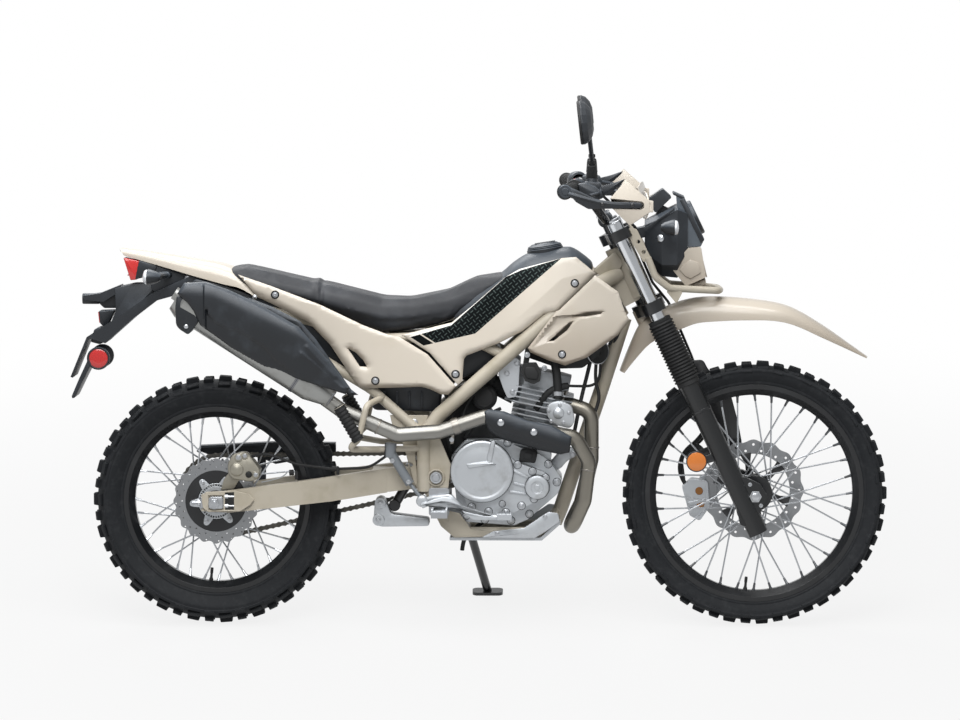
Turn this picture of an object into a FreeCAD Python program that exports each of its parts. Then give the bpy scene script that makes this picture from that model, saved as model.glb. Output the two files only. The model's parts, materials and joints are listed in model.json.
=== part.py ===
import FreeCAD, Part
import math
import os
from FreeCAD import Vector

# Dual sport motorcycle standing on its side stand.
# It is drawn upright: X runs forward from the rear axle, Y to the rider's left, Z up from the ground.
# The finished pieces are then leaned to the left about the line through both tyres' contacts.

# Stance
LEAN = 10.0
WHEELBASE = 1380.0
RAKE = 25.0
AXLE_LEAD = 33.0
FORK_OFFSET = 56.0
STEER_LOCK = 42.0
GAP = 0.3

# Tyres and wheels
REAR_TYRE_R = 320.0
REAR_TYRE_W = 104.0
REAR_CROWN_R = 62.0
REAR_RIM_R = 236.0
REAR_RIM_W = 62.0
REAR_PITCHES = 23
FRONT_TYRE_R = 340.0
FRONT_TYRE_W = 78.0
FRONT_CROWN_R = 47.0
FRONT_RIM_R = 276.0
FRONT_RIM_W = 50.0
FRONT_PITCHES = 25
KNOB_DEPTH = 9.0
RIM_DEPTH = 24.0
SPOKE_R = 2.1
SPOKES = 36
AXLE_R = 8.5

# Brake discs and final drive
REAR_DISC_R = 110.0
REAR_DISC_Y = -57.0
FRONT_DISC_R = 131.0
FRONT_DISC_Y = 60.0
DISC_T = 4.0
CHAIN_PITCH = 15.875
CHAIN_Y = 66.0
CHAIN_H = 14.5
REAR_TEETH = 42
FRONT_TEETH = 15
SPROCKET_T = 5.5
FRONT_SPROCKET_X = 640.0
FRONT_SPROCKET_Z = 398.0

# Swinging arm
PIVOT_X = 566.0
PIVOT_Z = 388.0
ARM_IN = 80.0
ARM_OUT = 106.0

# Frame
SPAR_R = 18.5
SPAR_Y = 97.0
DOWN_TUBE_R = 19.0
RAIL_R = 13.0
RAIL_Y = 84.0
SUBFRAME_R = 13.0
HEAD_TUBE_R = 30.0

# Fork and bars
LEG_Y = 95.0
STANCHION_R = 18.5
SLIDER_R = 25.5
GAITER_R = 33.5
BAR_R = 11.0
BAR_HALF = 402.0
GRIP_R = 16.0
GRIP_LENGTH = 116.0

# Engine
BORE_LEAN = 12.0
CASE_HALF = 78.0
FIN_T = 3.2
FIN_PITCH = 13.0

# Exhaust
PIPE_R = 19.0
HOSE_R = 3.5
MUFFLER_NOSE_R = 41.0
MUFFLER_R = 51.0

# Body
PANEL_T = 7.0
SHROUD_T = 6.0
PLATE_HOLE_R = 3.5
PLATE_HOLE_Y = 50.0


def vec(x, y, z):
    return Vector(x, y, z)


def rake_dir():
    a = math.radians(RAKE)
    return vec(-math.sin(a), 0, math.cos(a))


def cylinder(radius, start, end):
    return Part.makeCylinder(radius, (end - start).Length, start, end - start)


def ring(outer, inner, start, end):
    return cylinder(outer, start, end).cut(cylinder(inner, start, end))


def cone(radius_a, radius_b, start, end):
    return Part.makeCone(radius_a, radius_b, (end - start).Length, start, end - start)


def across(radius, x, z, y0, y1):
    """A round bar lying across the machine."""
    return cylinder(radius, vec(x, y0, z), vec(x, y1, z))


def block(x0, x1, y0, y1, z0, z1):
    return Part.makeBox(x1 - x0, y1 - y0, z1 - z0, vec(x0, y0, z0))


def fuse(shapes):
    return shapes[0].fuse(shapes[1:]).removeSplitter()


def cut(shape, *tools):
    return shape.cut(list(tools))


def main_solid(shape):
    return max(shape.Solids, key=lambda solid: solid.Volume)


def mirrored(shape):
    return shape.mirror(vec(0, 0, 0), vec(0, 1, 0))


def both_sides(shape):
    return Part.makeCompound(shape.Solids + mirrored(shape).Solids)


def tube(points, radius, bend=60.0):
    """A round tube of straight runs joined by tangent elbows."""
    pieces = []
    start = points[0]
    for before, corner, after in zip(points, points[1:], points[2:]):
        u = (before - corner).normalize()
        w = (after - corner).normalize()
        half = u.getAngle(w) / 2
        reach = bend / math.tan(half)
        limit = 0.49 * min((before - corner).Length, (after - corner).Length)
        reach = min(reach, limit)
        a = corner + u * reach
        b = corner + w * reach
        turn = reach * math.tan(half)
        centre = corner + (u + w).normalize() * (turn / math.sin(half))
        pieces.append(cylinder(radius, start, a))
        disc = Part.Face(Part.Wire(Part.Circle(a, corner - a, radius).toShape()))
        angle = 180.0 - 2 * math.degrees(half)
        pieces.append(disc.revolve(centre, (a - corner).cross(b - corner).normalize() * -1, angle))
        start = b
    pieces.append(cylinder(radius, start, points[-1]))
    return fuse(pieces)


def outline(points, plane, rounding=0.0):
    """A closed outline with rounded corners, from (u, v) or (u, v, radius) points."""
    count = len(points)
    flat = [(p[0], p[1]) for p in points]
    radii = [p[2] if len(p) > 2 else rounding for p in points]
    edges = []
    ends = []
    for i in range(count):
        here = plane(*flat[i])
        before = plane(*flat[i - 1])
        after = plane(*flat[(i + 1) % count])
        u = (before - here).normalize()
        w = (after - here).normalize()
        half = u.getAngle(w) / 2
        reach = 0.0
        if radii[i] > 0 and half < math.radians(89):
            limit = 0.45 * min((before - here).Length, (after - here).Length)
            reach = min(radii[i] / math.tan(half), limit)
        if reach > 0:
            radius = reach * math.tan(half)
            middle = here + (u + w).normalize() * (radius / math.sin(half) - radius)
            ends.append((here + u * reach, middle, here + w * reach))
        else:
            ends.append((here, None, here))
    for i in range(count):
        a, middle, b = ends[i]
        if middle is not None:
            edges.append(Part.Arc(a, middle, b).toShape())
        nxt = ends[(i + 1) % count][0]
        if (nxt - b).Length > 1e-6:
            edges.append(Part.LineSegment(b, nxt).toShape())
    return Part.Wire(edges)


def side_view(y=0.0):
    return lambda x, z: vec(x, y, z)


def top_view(z=0.0):
    return lambda x, y: vec(x, y, z)


def side_plate(points, y0, y1, rounding=0.0):
    """A side-view outline given thickness across the machine."""
    face = Part.Face(outline(points, side_view(y0), rounding))
    return face.extrude(vec(0, y1 - y0, 0))


def plan_prism(low, high, z0, z1):
    """A solid whose plan view changes evenly from one height to another."""
    wires = [outline(low, top_view(z0)), outline(high, top_view(z1))]
    return Part.makeLoft(wires, True, True)


def spin(points, centre, axis=None):
    """A solid of revolution about the cross axis, from (y, radius) points."""
    wire = Part.makePolygon([vec(centre.x, y, centre.z + r) for y, r in points + points[:1]])
    return Part.Face(wire).revolve(centre, axis or vec(0, 1, 0), 360)


def section_loft(stations, ruled=True):
    """Lofts symmetric cross-sections, each (x, [(half width, z), ...]) from bottom to top."""
    wires = []
    for x, half in stations:
        left = [vec(x, y, z) for y, z in half]
        right = [vec(x, -y, z) for y, z in reversed(half) if y > 0]
        wires.append(Part.makePolygon(left + right + left[:1]))
    return Part.makeLoft(wires, True, ruled)


# Tyres

def knob(radius, y0, y1, length, crown):
    """One tread block at the top of the wheel, its outer face following the crown."""
    def height(y):
        return radius - crown + math.sqrt(crown * crown - y * y)
    foot = height(max(abs(y0), abs(y1))) - KNOB_DEPTH - 6.0
    points = [(y0, foot), (y1, foot), (y1, height(y1)), (y0, height(y0))]
    wire = Part.makePolygon([vec(-length / 2, y, z) for y, z in points + points[:1]])
    return Part.Face(wire).extrude(vec(length, 0, 0))


def tyre(radius, width, crown, rim_r, rim_w, pitches):
    """A carcass turned from its section, carrying rows of tread blocks."""
    half = width / 2
    base = radius - KNOB_DEPTH
    shoulder = half - 8.0
    drop = crown - math.sqrt(crown * crown - shoulder * shoulder)
    flat = half * 0.36
    section = [
        (-rim_w / 2 + 4, rim_r - 8), (rim_w / 2 - 4, rim_r - 8),
        (half, (rim_r + radius) / 2 + 2), (shoulder, base - drop),
        (flat, base - 2), (-flat, base - 2), (-shoulder, base - drop),
        (-half, (rim_r + radius) / 2 + 2),
    ]
    body = spin(section, vec(0, 0, 0))
    step = 360.0 / pitches
    length = 2 * math.pi * radius / pitches
    middle = knob(radius, -flat, flat, length * 0.42, crown)
    side = knob(radius, half * 0.5, half * 0.9, length * 0.46, crown)
    blocks = []
    for i in range(pitches):
        turned = middle.copy()
        turned.rotate(vec(0, 0, 0), vec(0, 1, 0), (i + 0.25) * step)
        blocks.append(turned)
        for flank in (side, mirrored(side)):
            turned = flank.copy()
            turned.rotate(vec(0, 0, 0), vec(0, 1, 0), (i + 0.75) * step)
            blocks.append(turned)
    return body.fuse(blocks)


def contact_height(wheel):
    """How far the axle stands above the ground when the wheel leans, measured in the wheel's plane."""
    leaned = wheel.copy()
    leaned.rotate(vec(0, 0, 0), vec(1, 0, 0), -LEAN)
    lowest = min(vertex.Point.z for vertex in leaned.Vertexes)
    return -lowest / math.cos(math.radians(LEAN))


REAR_TYRE = tyre(REAR_TYRE_R, REAR_TYRE_W, REAR_CROWN_R, REAR_RIM_R, REAR_RIM_W, REAR_PITCHES)
FRONT_TYRE = tyre(FRONT_TYRE_R, FRONT_TYRE_W, FRONT_CROWN_R, FRONT_RIM_R, FRONT_RIM_W, FRONT_PITCHES)
REAR_AXLE = vec(0, 0, contact_height(REAR_TYRE))
FRONT_AXLE = vec(WHEELBASE, 0, contact_height(FRONT_TYRE))


def leg_point(height, y=0.0):
    """A point on the fork legs' axis at a height above the ground."""
    t = math.tan(math.radians(RAKE))
    foot_x = FRONT_AXLE.x - AXLE_LEAD / math.cos(math.radians(RAKE))
    return vec(foot_x - (height - FRONT_AXLE.z) * t, y, height)


def steer_point(height):
    """A point on the steering axis at a height above the ground."""
    back = (FORK_OFFSET - AXLE_LEAD) / math.cos(math.radians(RAKE))
    return leg_point(height) - vec(back, 0, 0)


HEAD_X = steer_point(905).x


def front_vec(x, y, z):
    """A point given along the machine from the front axle."""
    return vec(FRONT_AXLE.x + x, y, z)


def front_plate(points, y0, y1, rounding=0.0):
    """A side plate whose outline is given along the machine from the front axle."""
    moved = [(FRONT_AXLE.x + p[0],) + tuple(p[1:]) for p in points]
    return side_plate(moved, y0, y1, rounding)


# Wheels

def rim(radius, width, depth):
    """A rolled rim with its well and two flanges."""
    half = width / 2
    section = [
        (-half, radius + 4), (-half + 4, radius + 4), (-half + 4, radius - 8), (half - 4, radius - 8),
        (half - 4, radius + 4), (half, radius + 4), (half, radius - 8),
        (half * 0.35, radius - depth), (-half * 0.35, radius - depth), (-half, radius - 8),
    ]
    return section


def wheel_rim(axle, radius, width):
    return spin(rim(radius, width, RIM_DEPTH), axle)


def hub(axle, flange_r, barrel_r, flange_y, left_y, right_y):
    """A hub turned from one bar: barrel, two spoke flanges and two ends, bored for its axle."""
    section = [
        (right_y, AXLE_R + 0.05), (right_y, barrel_r - 6), (-flange_y - 4, barrel_r - 4),
        (-flange_y - 4, flange_r), (-flange_y + 3, flange_r), (-flange_y + 8, barrel_r),
        (flange_y - 8, barrel_r), (flange_y - 3, flange_r), (flange_y + 4, flange_r),
        (flange_y + 4, barrel_r - 4), (left_y, barrel_r - 6), (left_y, AXLE_R + 0.05),
    ]
    return spin(section, axle)


def spokes(axle, hub_r, flange_y, rim_r):
    """Crossed wire spokes from both hub flanges to the rim's well."""
    wires = []
    cross = math.radians(52.0)
    inner = rim_r - RIM_DEPTH
    for i in range(SPOKES):
        side = 1 if i % 2 else -1
        turn = 1 if (i // 2) % 2 else -1
        out_angle = 2 * math.pi * i / SPOKES
        in_angle = out_angle + turn * cross
        start = vec(axle.x + hub_r * math.cos(in_angle), side * flange_y, axle.z + hub_r * math.sin(in_angle))
        end = vec(axle.x + inner * math.cos(out_angle), side * 4.0, axle.z + inner * math.sin(out_angle))
        direction = (end - start).normalize()
        wires.append(hexagon_bar(SPOKE_R, start, end - direction * GAP))
    inner_face = across(hub_r + GAP, axle.x, axle.z, -flange_y - 10, flange_y + 10)
    return Part.makeCompound(wires).cut(inner_face)


def hexagon_bar(radius, start, end):
    along = (end - start).normalize()
    across_one = along.cross(vec(0, 1, 0)).normalize()
    across_two = along.cross(across_one)
    corners = []
    for i in range(6):
        a = math.radians(60 * i)
        corners.append(start + across_one * (radius * math.cos(a)) + across_two * (radius * math.sin(a)))
    return Part.Face(Part.makePolygon(corners + corners[:1])).extrude(end - start)


def wavy_disc(axle, radius, bore_r, y, waves):
    """A brake disc with a scalloped edge and round vents."""
    low = y - DISC_T / 2
    disc = ring(radius, bore_r, vec(axle.x, low, axle.z), vec(axle.x, low + DISC_T, axle.z))
    holes = []
    for i in range(waves):
        a = 2 * math.pi * i / waves
        x = axle.x + (radius + 7) * math.cos(a)
        z = axle.z + (radius + 7) * math.sin(a)
        holes.append(across(13.0, x, z, low - 1, low + DISC_T + 1))
    return disc.cut(holes)


def disc_carrier(axle, outer_r, inner_r, y, arms):
    """A thin web of arms between the disc and the hub."""
    low = y - DISC_T / 2
    inner = ring(inner_r + 8, inner_r, vec(axle.x, low, axle.z), vec(axle.x, low + DISC_T, axle.z))
    pieces = [inner]
    for i in range(arms):
        arm = block(inner_r + 4, outer_r + 3, low, low + DISC_T, -6, 6)
        arm.rotate(vec(0, 0, 0), vec(0, 1, 0), 360.0 * i / arms)
        arm.translate(vec(axle.x, 0, axle.z))
        pieces.append(arm)
    return fuse(pieces)


def brake_disc(axle, radius, bore_r, hub_r, y, waves, arms):
    return fuse([wavy_disc(axle, radius, bore_r, y, waves), disc_carrier(axle, bore_r, hub_r, y, arms)])


def sprocket_radius(teeth):
    return CHAIN_PITCH / (2 * math.sin(math.pi / teeth))


def sprocket(axle, teeth, bore_r):
    """A toothed wheel whose tips run just inside the chain's links."""
    tip = sprocket_radius(teeth) - CHAIN_H / 2 - 1.0
    root = tip - 5.0
    low = CHAIN_Y - SPROCKET_T / 2
    points = []
    for i in range(teeth):
        a = 2 * math.pi * i / teeth
        for shift, r in ((-0.30, root), (-0.12, tip), (0.12, tip), (0.30, root)):
            angle = a + shift * 2 * math.pi / teeth
            points.append(vec(axle.x + r * math.cos(angle), low, axle.z + r * math.sin(angle)))
    disc = Part.Face(Part.makePolygon(points + points[:1])).extrude(vec(0, SPROCKET_T, 0))
    windows = []
    for i in range(6):
        a = math.radians(60 * i + 30)
        x = axle.x + root * 0.74 * math.cos(a)
        z = axle.z + root * 0.74 * math.sin(a)
        windows.append(across(root * 0.16, x, z, low - 1, low + SPROCKET_T + 1))
    return disc.cut(windows + [across(bore_r, axle.x, axle.z, low - 1, low + SPROCKET_T + 1)])


# Final drive chain

def on_sprocket(centre, radius, angle):
    """A place on a sprocket's pitch circle and the way the chain runs there."""
    x = centre.x + radius * math.cos(angle)
    z = centre.z + radius * math.sin(angle)
    return x, z, angle - math.pi / 2


def on_run(start, distance):
    """A place on a straight run of chain, so far from where it starts."""
    x, z, heading = start
    return x + distance * math.cos(heading), z + distance * math.sin(heading), heading


def chain_loop():
    """Points and headings of every link around the two sprockets."""
    drive = vec(FRONT_SPROCKET_X, 0, FRONT_SPROCKET_Z)
    big = sprocket_radius(REAR_TEETH)
    small = sprocket_radius(FRONT_TEETH)
    dx = FRONT_SPROCKET_X - REAR_AXLE.x
    dz = FRONT_SPROCKET_Z - REAR_AXLE.z
    span = math.hypot(dx, dz)
    tilt = math.atan2(dz, dx)
    open_angle = math.asin((big - small) / span)
    top = tilt + math.pi / 2 - open_angle
    bottom = tilt - math.pi / 2 + open_angle
    straight = math.sqrt(span * span - (big - small) ** 2)
    rear_arc = big * (2 * math.pi - (top - bottom))
    front_arc = small * (top - bottom)
    total = 2 * straight + rear_arc + front_arc
    links = int(total / CHAIN_PITCH / 2) * 2
    pitch = total / links

    def at(s):
        s = s % total
        if s < front_arc:
            return on_sprocket(drive, small, top - s / small)
        s -= front_arc
        if s < straight:
            return on_run(on_sprocket(drive, small, bottom), s)
        s -= straight
        if s < rear_arc:
            return on_sprocket(REAR_AXLE, big, bottom - s / big)
        return on_run(on_sprocket(REAR_AXLE, big, top), s - rear_arc)

    return [at((i + 0.5) * pitch) for i in range(links)], pitch


def chain_link(length, height, half_width):
    """One link with its ends cut back, so that the chain can bend."""
    end = length / 2
    waist = end - 3.5
    points = [(-end, -1.5), (-waist, -height / 2), (waist, -height / 2),
              (end, -1.5), (end, 1.5), (waist, height / 2), (-waist, height / 2), (-end, 1.5)]
    return side_plate(points, CHAIN_Y - half_width, CHAIN_Y + half_width)


def chain():
    """A closed loop of links, wide outer links alternating with narrow inner ones."""
    places, pitch = chain_loop()
    links = []
    for i, (x, z, heading) in enumerate(places):
        half_w = 8.5 if i % 2 else 6.0
        height = CHAIN_H if i % 2 else CHAIN_H - 1.5
        link = chain_link(pitch - 0.8, height, half_w)
        link.rotate(vec(0, 0, 0), vec(0, 1, 0), -math.degrees(heading))
        link.translate(vec(x, 0, z))
        links.append(link)
    return Part.makeCompound(links)


def drive_sprocket():
    tip = sprocket_radius(FRONT_TEETH) - CHAIN_H / 2 - GAP
    wheel = across(tip, FRONT_SPROCKET_X, FRONT_SPROCKET_Z, CHAIN_Y - 3, CHAIN_Y + 3)
    shaft = across(13, FRONT_SPROCKET_X, FRONT_SPROCKET_Z, CHAIN_Y - 12, CHAIN_Y + 6)
    return fuse([wheel, shaft])


# Frame

def spar():
    """The right-hand main tube, from the head down to the swinging arm's pivot."""
    points = [
        vec(HEAD_X - 22, -20, 905), vec(HEAD_X - 125, -76, 856), vec(854, -SPAR_Y, 794),
        vec(571, -SPAR_Y, 545), vec(534, -SPAR_Y, 492), vec(536, -SPAR_Y, 352),
    ]
    return tube(points, SPAR_R, 70.0)


def pivot_plate():
    points = [(524, 350), (596, 350), (604, 420), (570, 500), (524, 500)]
    return side_plate(points, -SPAR_Y - 9, -SPAR_Y + 9, 12.0)


def frame_spine():
    head = cylinder(HEAD_TUBE_R, steer_point(846), steer_point(972))
    side = fuse([spar(), pivot_plate()])
    gusset = side_plate(
        [(HEAD_X + 35, 842), (HEAD_X - 15, 930), (HEAD_X - 80, 885), (HEAD_X - 45, 800)], -26, 26, 10.0)
    shock_tie = across(13, 640, 606, -SPAR_Y, SPAR_Y)
    whole = fuse([head, gusset, side, mirrored(side), shock_tie])
    stem = cylinder(15.0, steer_point(820), steer_point(1000))
    pivot = across(10.05, PIVOT_X, PIVOT_Z, -130, 130)
    return whole.cut([stem, pivot])


def frame_cradle():
    down = tube(
        [vec(HEAD_X - 9, 0, 790), vec(HEAD_X - 68, 0, 605), vec(884, 0, 300), vec(868, 0, 262)],
        DOWN_TUBE_R, 200.0)
    rail = tube(
        [vec(872, -6, 290), vec(846, -RAIL_Y, 246), vec(610, -RAIL_Y, 246), vec(548, -SPAR_Y, 352)],
        RAIL_R, 50.0)
    cross = across(RAIL_R - 2, 640, 246, -RAIL_Y, RAIL_Y)
    return fuse([down, rail, mirrored(rail), cross])


def subframe():
    lower = tube([vec(528, -SPAR_Y, 500), vec(400, -86, 612), vec(70, -70, 812)], SUBFRAME_R, 120.0)
    upper_line = [vec(735, -78, 700), vec(640, -74, 748), vec(420, -72, 740), vec(60, -70, 832)]
    upper = tube(upper_line, SUBFRAME_R, 120.0)
    tie = across(SUBFRAME_R - 2, 72, 822, -70, 70)
    front_tie = across(SUBFRAME_R - 2, 430, 742, -72, 72)
    return fuse([lower, mirrored(lower), upper, mirrored(upper), tie, front_tie])


def skid_plate():
    """A bent sheet under the engine, turned up in front."""
    outer = [(600, 225), (836, 225), (884, 268), (878, 275), (832, 233), (600, 233)]
    return side_plate(outer, -RAIL_Y - 8, RAIL_Y + 8, 2.0)


# Swinging arm

def swingarm():
    """A box-section fork around the rear wheel, bored for the pivot and the axle."""
    def arm_section(x, z0, z1, y0, y1):
        corners = [vec(x, -y0, z0), vec(x, -y1, z0), vec(x, -y1, z1), vec(x, -y0, z1)]
        return Part.makePolygon(corners + corners[:1])
    arm = Part.makeLoft([
        arm_section(-34, 300, 342, ARM_IN, ARM_OUT),
        arm_section(40, 296, 352, ARM_IN, ARM_OUT),
        arm_section(300, 325, 388, ARM_IN - 6, ARM_OUT - 8),
        arm_section(440, 346, 408, 46, SPAR_Y - 21),
    ], True, True)
    front = side_plate([(430, 346), (PIVOT_X, 362), (PIVOT_X + 24, 388), (PIVOT_X, 414), (430, 408)],
                       -(SPAR_Y - 21), -46, 14.0)
    bridge = block(400, 452, -76, 76, 352, 402)
    whole = fuse([arm, front, mirrored(arm), mirrored(front), bridge])
    pivot = across(10.05, PIVOT_X, PIVOT_Z, -130, 130)
    axle = across(AXLE_R + 0.05, REAR_AXLE.x, REAR_AXLE.z, -130, 130)
    return whole.cut([pivot, axle])


def rear_axle():
    """The rear axle with its spacers, nuts and chain adjuster plates."""
    pieces = [across(AXLE_R, 0, REAR_AXLE.z, -ARM_OUT - 14, ARM_OUT + 16)]
    pieces.append(across(15, 0, REAR_AXLE.z, -ARM_OUT - 12, -ARM_OUT))
    pieces.append(across(15, 0, REAR_AXLE.z, ARM_OUT, ARM_OUT + 12))
    pieces.append(across(14, 0, REAR_AXLE.z, -ARM_IN, REAR_DISC_Y - 9 - GAP))
    pieces.append(across(14, 0, REAR_AXLE.z, CHAIN_Y + SPROCKET_T / 2 + GAP, ARM_IN))
    block_line = [(-36, 308), (30, 308), (38, 321), (30, 334), (-36, 334)]
    adjuster = side_plate(block_line, -ARM_OUT - 4, -ARM_OUT, 3.0)
    pieces += [adjuster, mirrored(adjuster)]
    pivot = across(10.0, PIVOT_X, PIVOT_Z, -SPAR_Y - 18, SPAR_Y + 18)
    head = across(15, PIVOT_X, PIVOT_Z, -SPAR_Y - 18, -SPAR_Y - 9)
    return Part.makeCompound([fuse(pieces), fuse([pivot, head, mirrored(head)])])


def rear_caliper():
    """A single-piston caliper astride the rear disc, on its bracket above the arm."""
    body = side_plate([(10, 392), (66, 392), (84, 412), (70, 442), (16, 436)], -80, -34, 8.0)
    gap = across(REAR_DISC_R + 2, 0, REAR_AXLE.z, REAR_DISC_Y - 4, REAR_DISC_Y + 4)
    bracket = side_plate([(30, 350), (70, 355), (66, 396), (26, 396)], -79.7, -68, 4.0)
    return fuse([body.cut(gap), bracket])


def rear_shock():
    """A coil-over damper with its linkage under the swinging arm."""
    low = vec(456, 0, 306)
    high = vec(634, 0, 604)
    along = (high - low).normalize()
    pieces = [cylinder(12, low, high)]
    coils = 8
    for i in range(coils):
        a = low + along * (95 + 24 * i)
        pieces.append(ring(30, 22, a, a + along * 11))
    pieces.append(cylinder(31, low + along * 85, low + along * 95))
    pieces.append(cylinder(31, low + along * 276, low + along * 300))
    pieces.append(cylinder(23, low + along * 95, low + along * 276))
    rocker_line = [(408, 262), (420, 314), (450, 336), (480, 290), (546, 272), (546, 258)]
    rocker = side_plate(rocker_line, -22, 22, 6.0)
    return fuse(pieces + [rocker])


# Engine

def engine_cases():
    """The crankcases with their round clutch, alternator and sprocket covers."""
    core = side_plate([
        (636, 272), (765, 262), (800, 278), (877, 345), (888, 380), (862, 418),
        (840, 440), (729, 482), (641, 482), (604, 440), (618, 322),
    ], -CASE_HALF, CHAIN_Y - 12, 16.0)
    right = side_plate([
        (650, 300), (740, 286), (812, 322), (858, 352), (852, 398),
        (770, 428), (716, 474), (650, 470), (614, 410),
    ], -CASE_HALF - 30, -CASE_HALF, 24.0)
    clutch = across(79, 683, 405, -CASE_HALF - 46, -CASE_HALF)
    water = across(30, 824, 364, -CASE_HALF - 42, -CASE_HALF)
    left = side_plate([
        (693, 290), (770, 272), (812, 300), (868, 352), (870, 392), (840, 430), (729, 468), (693, 462),
    ], CHAIN_Y - 12, CASE_HALF + 14, 14.0)
    alternator = across(72, 782, 370, CASE_HALF + 14, CASE_HALF + 32)
    guard_line = [(604, 360), (720, 330), (720, 440), (640, 452), (604, 440)]
    guard = side_plate(guard_line, CHAIN_Y + 11, CHAIN_Y + 16, 16.0)
    return fuse([core, right, clutch, water, left, alternator, guard])


def engine_hangers():
    """The two bare plates that hang the cylinder head from the main tubes."""
    plate = side_plate([
        (766, 694), (780, 684), (776, 619), (768, 592), (748, 588), (737, 613), (724, 650), (732, 672),
    ], -SPAR_Y + 19, -SPAR_Y + 25, 5.0)
    return both_sides(plate)


def bore_axis(height):
    """A point on the cylinder's axis at a distance above the crankcase mouth."""
    a = math.radians(BORE_LEAN)
    return vec(796 + height * math.sin(a), 0, 436 + height * math.cos(a))


def fin(height, length, width, thickness, corner):
    """One cooling fin: a plate with cropped corners, square to the bore."""
    half_l = length / 2
    half_w = width / 2
    points = [
        (-half_l + corner, -half_w), (half_l - corner, -half_w), (half_l, -half_w + corner),
        (half_l, half_w - corner), (half_l - corner, half_w), (-half_l + corner, half_w),
        (-half_l, half_w - corner), (-half_l, -half_w + corner),
    ]
    plate = Part.Face(outline(points, top_view(0))).extrude(vec(0, 0, thickness))
    plate.rotate(vec(0, 0, 0), vec(0, 1, 0), BORE_LEAN)
    plate.translate(bore_axis(height))
    return plate


def engine_cylinder():
    """The finned barrel and head, stacked along the bore."""
    pieces = [fin(0, 96, 96, 140, 20)]
    for i in range(8):
        pieces.append(fin(26 + FIN_PITCH * i, 124, 138, FIN_T, 18))
    pieces.append(fin(130, 130, 128, 50, 16))
    for i in range(4):
        pieces.append(fin(134 + FIN_PITCH * i, 172, 156, FIN_T, 22))
    pieces.append(fin(178, 140, 118, 46, 24))
    return fuse(pieces)


def intake():
    """Air box, rubber boots and throttle body behind the head."""
    box = section_loft([
        (470, [(30, 640), (56, 656), (56, 724), (40, 736)]),
        (600, [(30, 632), (60, 650), (60, 722), (40, 734)]),
    ])
    boot = cone(34, 26, vec(598, 0, 680), vec(660, 0, 646))
    body = cylinder(30, vec(660, 0, 646), vec(708, 0, 620))
    spigot = cylinder(24, vec(708, 0, 620), vec(766, 0, 590))
    return fuse([box, boot, body, spigot])


def ignition_coil():
    """The black coil box beside the head, on a short stay from the main tube."""
    box = side_plate([
        (790, 680), (821, 681), (834, 658), (831, 635), (815, 627), (793, 635), (782, 658),
    ], -SPAR_Y - 12, -SPAR_Y + 20, 4.0)
    stay = side_plate([(786, 668), (800, 668), (812, 736), (796, 736)], -SPAR_Y + 2, -SPAR_Y + 8)
    return fuse([box, stay])


# Exhaust

def exhaust_pipe():
    """The header: down in front of the cylinder, round a loop and back along the right side."""
    points = [
        vec(880, -34, 578), vec(962, -46, 552), vec(962, -48, 430), vec(936, -52, 318), vec(908, -60, 262),
        vec(914, -104, 262), vec(944, -114, 330), vec(956, -114, 430), vec(920, -114, 492),
        vec(830, -124, 510), vec(696, -136, 548), vec(576, -138, 508), vec(470, -138, 500),
        vec(330, -144, 560), vec(286, -147, 592),
    ]
    return tube(points, PIPE_R, 34.0)


def muffler():
    """A long silencer rising to the rear, with a stepped end cap and outlet."""
    front = vec(300, -148, 592)
    back = vec(-68, -148, 842)
    along = (back - front).normalize()
    body = cone(MUFFLER_NOSE_R, MUFFLER_R, front + along * 60, back)
    nose = cone(PIPE_R + 3, MUFFLER_NOSE_R, front, front + along * 60)
    cap = cone(MUFFLER_R, MUFFLER_R - 10, back, back + along * 22)
    outlet = cylinder(17, back + along * 22, back + along * 34)
    bracket = side_plate([(150, 690), (190, 690), (180, 770), (160, 770)], -104, -84, 4.0)
    return fuse([body, nose, cap, outlet]), bracket


def muffler_covers(silencer):
    """The ribbed heat cover over the silencer and the shield over the header."""
    long_cover = side_plate([
        (-85, 862), (-68, 890), (-13, 892), (48, 871), (114, 840), (222, 779), (340, 640), (352, 622),
        (340, 606), (201, 650), (135, 668), (48, 714), (-30, 780), (-90, 830),
    ], -218, -150, 12.0)
    shield = side_plate([
        (690, 562), (717, 570), (864, 524), (912, 494), (905, 452), (831, 462), (729, 487), (686, 530),
    ], -152, -140, 10.0)
    return Part.makeCompound([long_cover.cut(silencer), shield])


# Body

def tank():
    """The fuel tank under its black top cover, with the filler cap."""
    lower = section_loft([
        (610, [(40, 770), (62, 790), (62, 842), (40, 850)]),
        (700, [(58, 752), (82, 780), (80, 880), (52, 900)]),
        (748, [(60, 762), (88, 790), (84, 900), (54, 922)]),
        (820, [(60, 800), (95, 826), (88, 930), (56, 962)]),
        (910, [(60, 860), (96, 880), (88, 944), (54, 972)]),
        (966, [(50, 906), (76, 912), (70, 930), (44, 940)]),
    ])
    cap = cylinder(38, vec(840, 0, 955), vec(846, 0, 984))
    return fuse([lower, cap])


SHROUD_TOP = [
    (476, 753), (606, 784), (658, 826), (741, 898), (777, 919), (886, 948), (922, 951), (974, 909),
    (876, 812), (841, 806), (787, 762), (728, 732), (644, 699), (637, 690), (633, 635), (620, 621),
    (597, 599), (617, 624), (602, 644), (547, 706),
]
SHROUD_LOW = [
    (972, 908), (1029, 865), (1046, 816), (1058, 793), (1029, 755), (950, 697), (895, 676), (854, 688),
    (807, 708), (800, 720), (870, 816),
]


def plan_shell(outer_low, outer_high, thickness, z0, z1):
    """A curved upright sheet, given by its outer plan line at two heights."""
    def closed(line):
        inner = [(x, y + thickness) for x, y in reversed(line)]
        return line + inner
    return plan_prism(closed(outer_low), closed(outer_high), z0, z1)


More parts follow.
